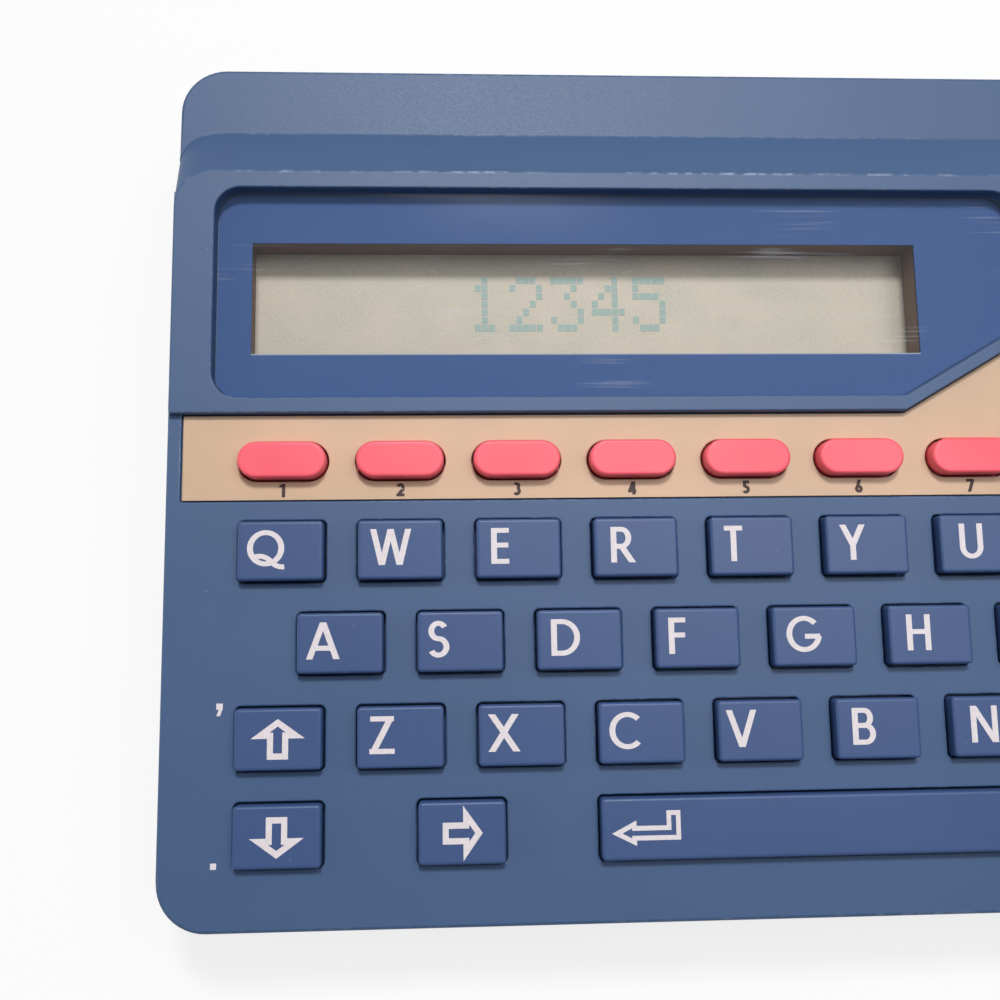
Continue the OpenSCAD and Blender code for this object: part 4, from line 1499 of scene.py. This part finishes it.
class BuildStage(Operator):
    """Lays the floor, hangs the lamps and sets up the camera"""

    bl_idname = "dictionary.build_stage"
    bl_label = "Stage"

    # Half the floor's side, in metres, and how much of it glows for the camera and in reflections
    FLOOR_REACH = 4
    FLOOR_GLOW = 0.8
    # Height of the key lamp over the horizon
    KEY_HEIGHT = radians(62)
    # Side and distance of each lamp in metres, and its direction from the origin
    KEY_LAMP = (0.24, 1.5, (0, cos(KEY_HEIGHT), sin(KEY_HEIGHT)))
    SOFT_LAMP = (0.22, 0.4, (0.3, 0.16, 0.95))
    SIDE_LAMP = (0.5, 1.2, (-0.95, 0.1, 0.26))
    # The camera's place in mm and its turns, in the frame of the deck
    CAMERA_PLACE = (-37.905, -19.184, 114.155)
    CAMERA_TURNS = ((-0.015, "Z"), (-0.047, "Y"), (0.14, "X"))

    def execute(self, context):
        settings = context.scene.dictionary_stage
        self.lay_floor(settings)
        self.hang_lamp("Key_lamp", settings.key_light, *self.KEY_LAMP)
        self.hang_lamp("Soft_lamp", settings.soft_light, *self.SOFT_LAMP)
        self.hang_lamp("Side_lamp", settings.side_light, *self.SIDE_LAMP)
        world = bpy.data.worlds.new("Studio")
        world.use_nodes = True
        background = world.node_tree.nodes["Background"]
        background.inputs["Color"].default_value = (0.93, 0.96, 1, 1)
        background.inputs["Strength"].default_value = settings.fill
        context.scene.world = world
        context.scene.view_settings.view_transform = "Standard"
        self.place_camera(context, settings)
        return {"FINISHED"}

    def lay_floor(self, settings):
        """A pale floor that shows nearly white to the camera and in reflections."""
        bm = bmesh.new()
        bmesh.ops.create_grid(bm, x_segments=1, y_segments=1, size=self.FLOOR_REACH)
        floor = scratch_object(bm, "floor")
        material, tree, shader = start_material("Floor_white")
        shader.inputs["Base Color"].default_value = (*settings.floor_colour, 1)
        shader.inputs["Roughness"].default_value = 0.9
        path = node_of(tree, "ShaderNodeLightPath")
        glow = node_of(tree, "ShaderNodeEmission", {"Color": (1, 1, 1, 1), "Strength": 1})
        rays = path.outputs["Is Camera Ray"]
        for kind in ("Is Glossy Ray", "Is Transmission Ray"):
            rays = calculate(tree, "ADD", rays, path.outputs[kind])
        seen = multiply(tree, rays, self.FLOOR_GLOW)
        mix = node_of(tree, "ShaderNodeMixShader")
        tree.links.new(seen, mix.inputs[0])
        tree.links.new(shader.outputs[0], mix.inputs[1])
        tree.links.new(glow.outputs[0], mix.inputs[2])
        tree.links.new(mix.outputs[0], tree.nodes["Material Output"].inputs["Surface"])
        floor.data.materials.append(material)

    def hang_lamp(self, name, power, size, distance, towards):
        """A soft square lamp that shines at the origin."""
        lamp = bpy.data.lights.new(name, "AREA")
        lamp.shape = "SQUARE"
        lamp.size = size
        lamp.energy = power
        holder = linked(name, lamp)
        aim = Vector(towards).normalized()
        holder.location = aim * distance
        holder.rotation_euler = aim.to_track_quat("Z", "Y").to_euler()

    def place_camera(self, context, settings):
        """The photograph's camera, found from the grid of keys."""
        place = DECK @ Matrix.Translation(self.CAMERA_PLACE)
        for angle, axis in self.CAMERA_TURNS:
            place = place @ Matrix.Rotation(angle, 4, axis)
        data = bpy.data.cameras.new("Camera")
        data.sensor_width = 36
        data.lens = settings.lens
        data.clip_start = 0.01
        camera = linked("Camera", data)
        turn = place.to_quaternion().to_matrix().to_4x4()
        camera.matrix_world = Matrix.Translation(place.to_translation() * MM) @ turn
        context.scene.camera = camera


class DictionaryPanel(Panel):
    """Lists the steps that dress the electronic dictionary"""

    bl_idname = "VIEW3D_PT_dictionary"
    bl_label = "Electronic dictionary"
    bl_space_type = "VIEW_3D"
    bl_region_type = "UI"
    bl_category = "Dictionary"

    def draw(self, context):
        for operator in OPERATORS:
            self.layout.operator(operator.bl_idname)


SETTINGS = {
    "dictionary_case": CaseSettings,
    "dictionary_keys": KeySettings,
    "dictionary_display": DisplaySettings,
    "dictionary_lettering": LetteringSettings,
    "dictionary_inside": InsideSettings,
    "dictionary_stage": StageSettings,
}
OPERATORS = (
    DressCase,
    DressDisplay,
    DressPlate,
    BuildKeys,
    BuildButtons,
    DressInside,
    BuildStage,
)


def register():
    for group in (*SETTINGS.values(), *OPERATORS, DictionaryPanel):
        bpy.utils.register_class(group)
    for name, group in SETTINGS.items():
        setattr(bpy.types.Scene, name, PointerProperty(type=group))


def unregister():
    for name in SETTINGS:
        delattr(bpy.types.Scene, name)
    for group in reversed((*SETTINGS.values(), *OPERATORS, DictionaryPanel)):
        bpy.utils.unregister_class(group)


def main():
    register()
    bpy.ops.dictionary.dress_case()
    bpy.ops.dictionary.dress_display()
    bpy.ops.dictionary.dress_plate()
    bpy.ops.dictionary.build_keys()
    bpy.ops.dictionary.build_buttons()
    bpy.ops.dictionary.dress_inside()
    bpy.ops.dictionary.build_stage()


if __name__ == "__main__":
    main()
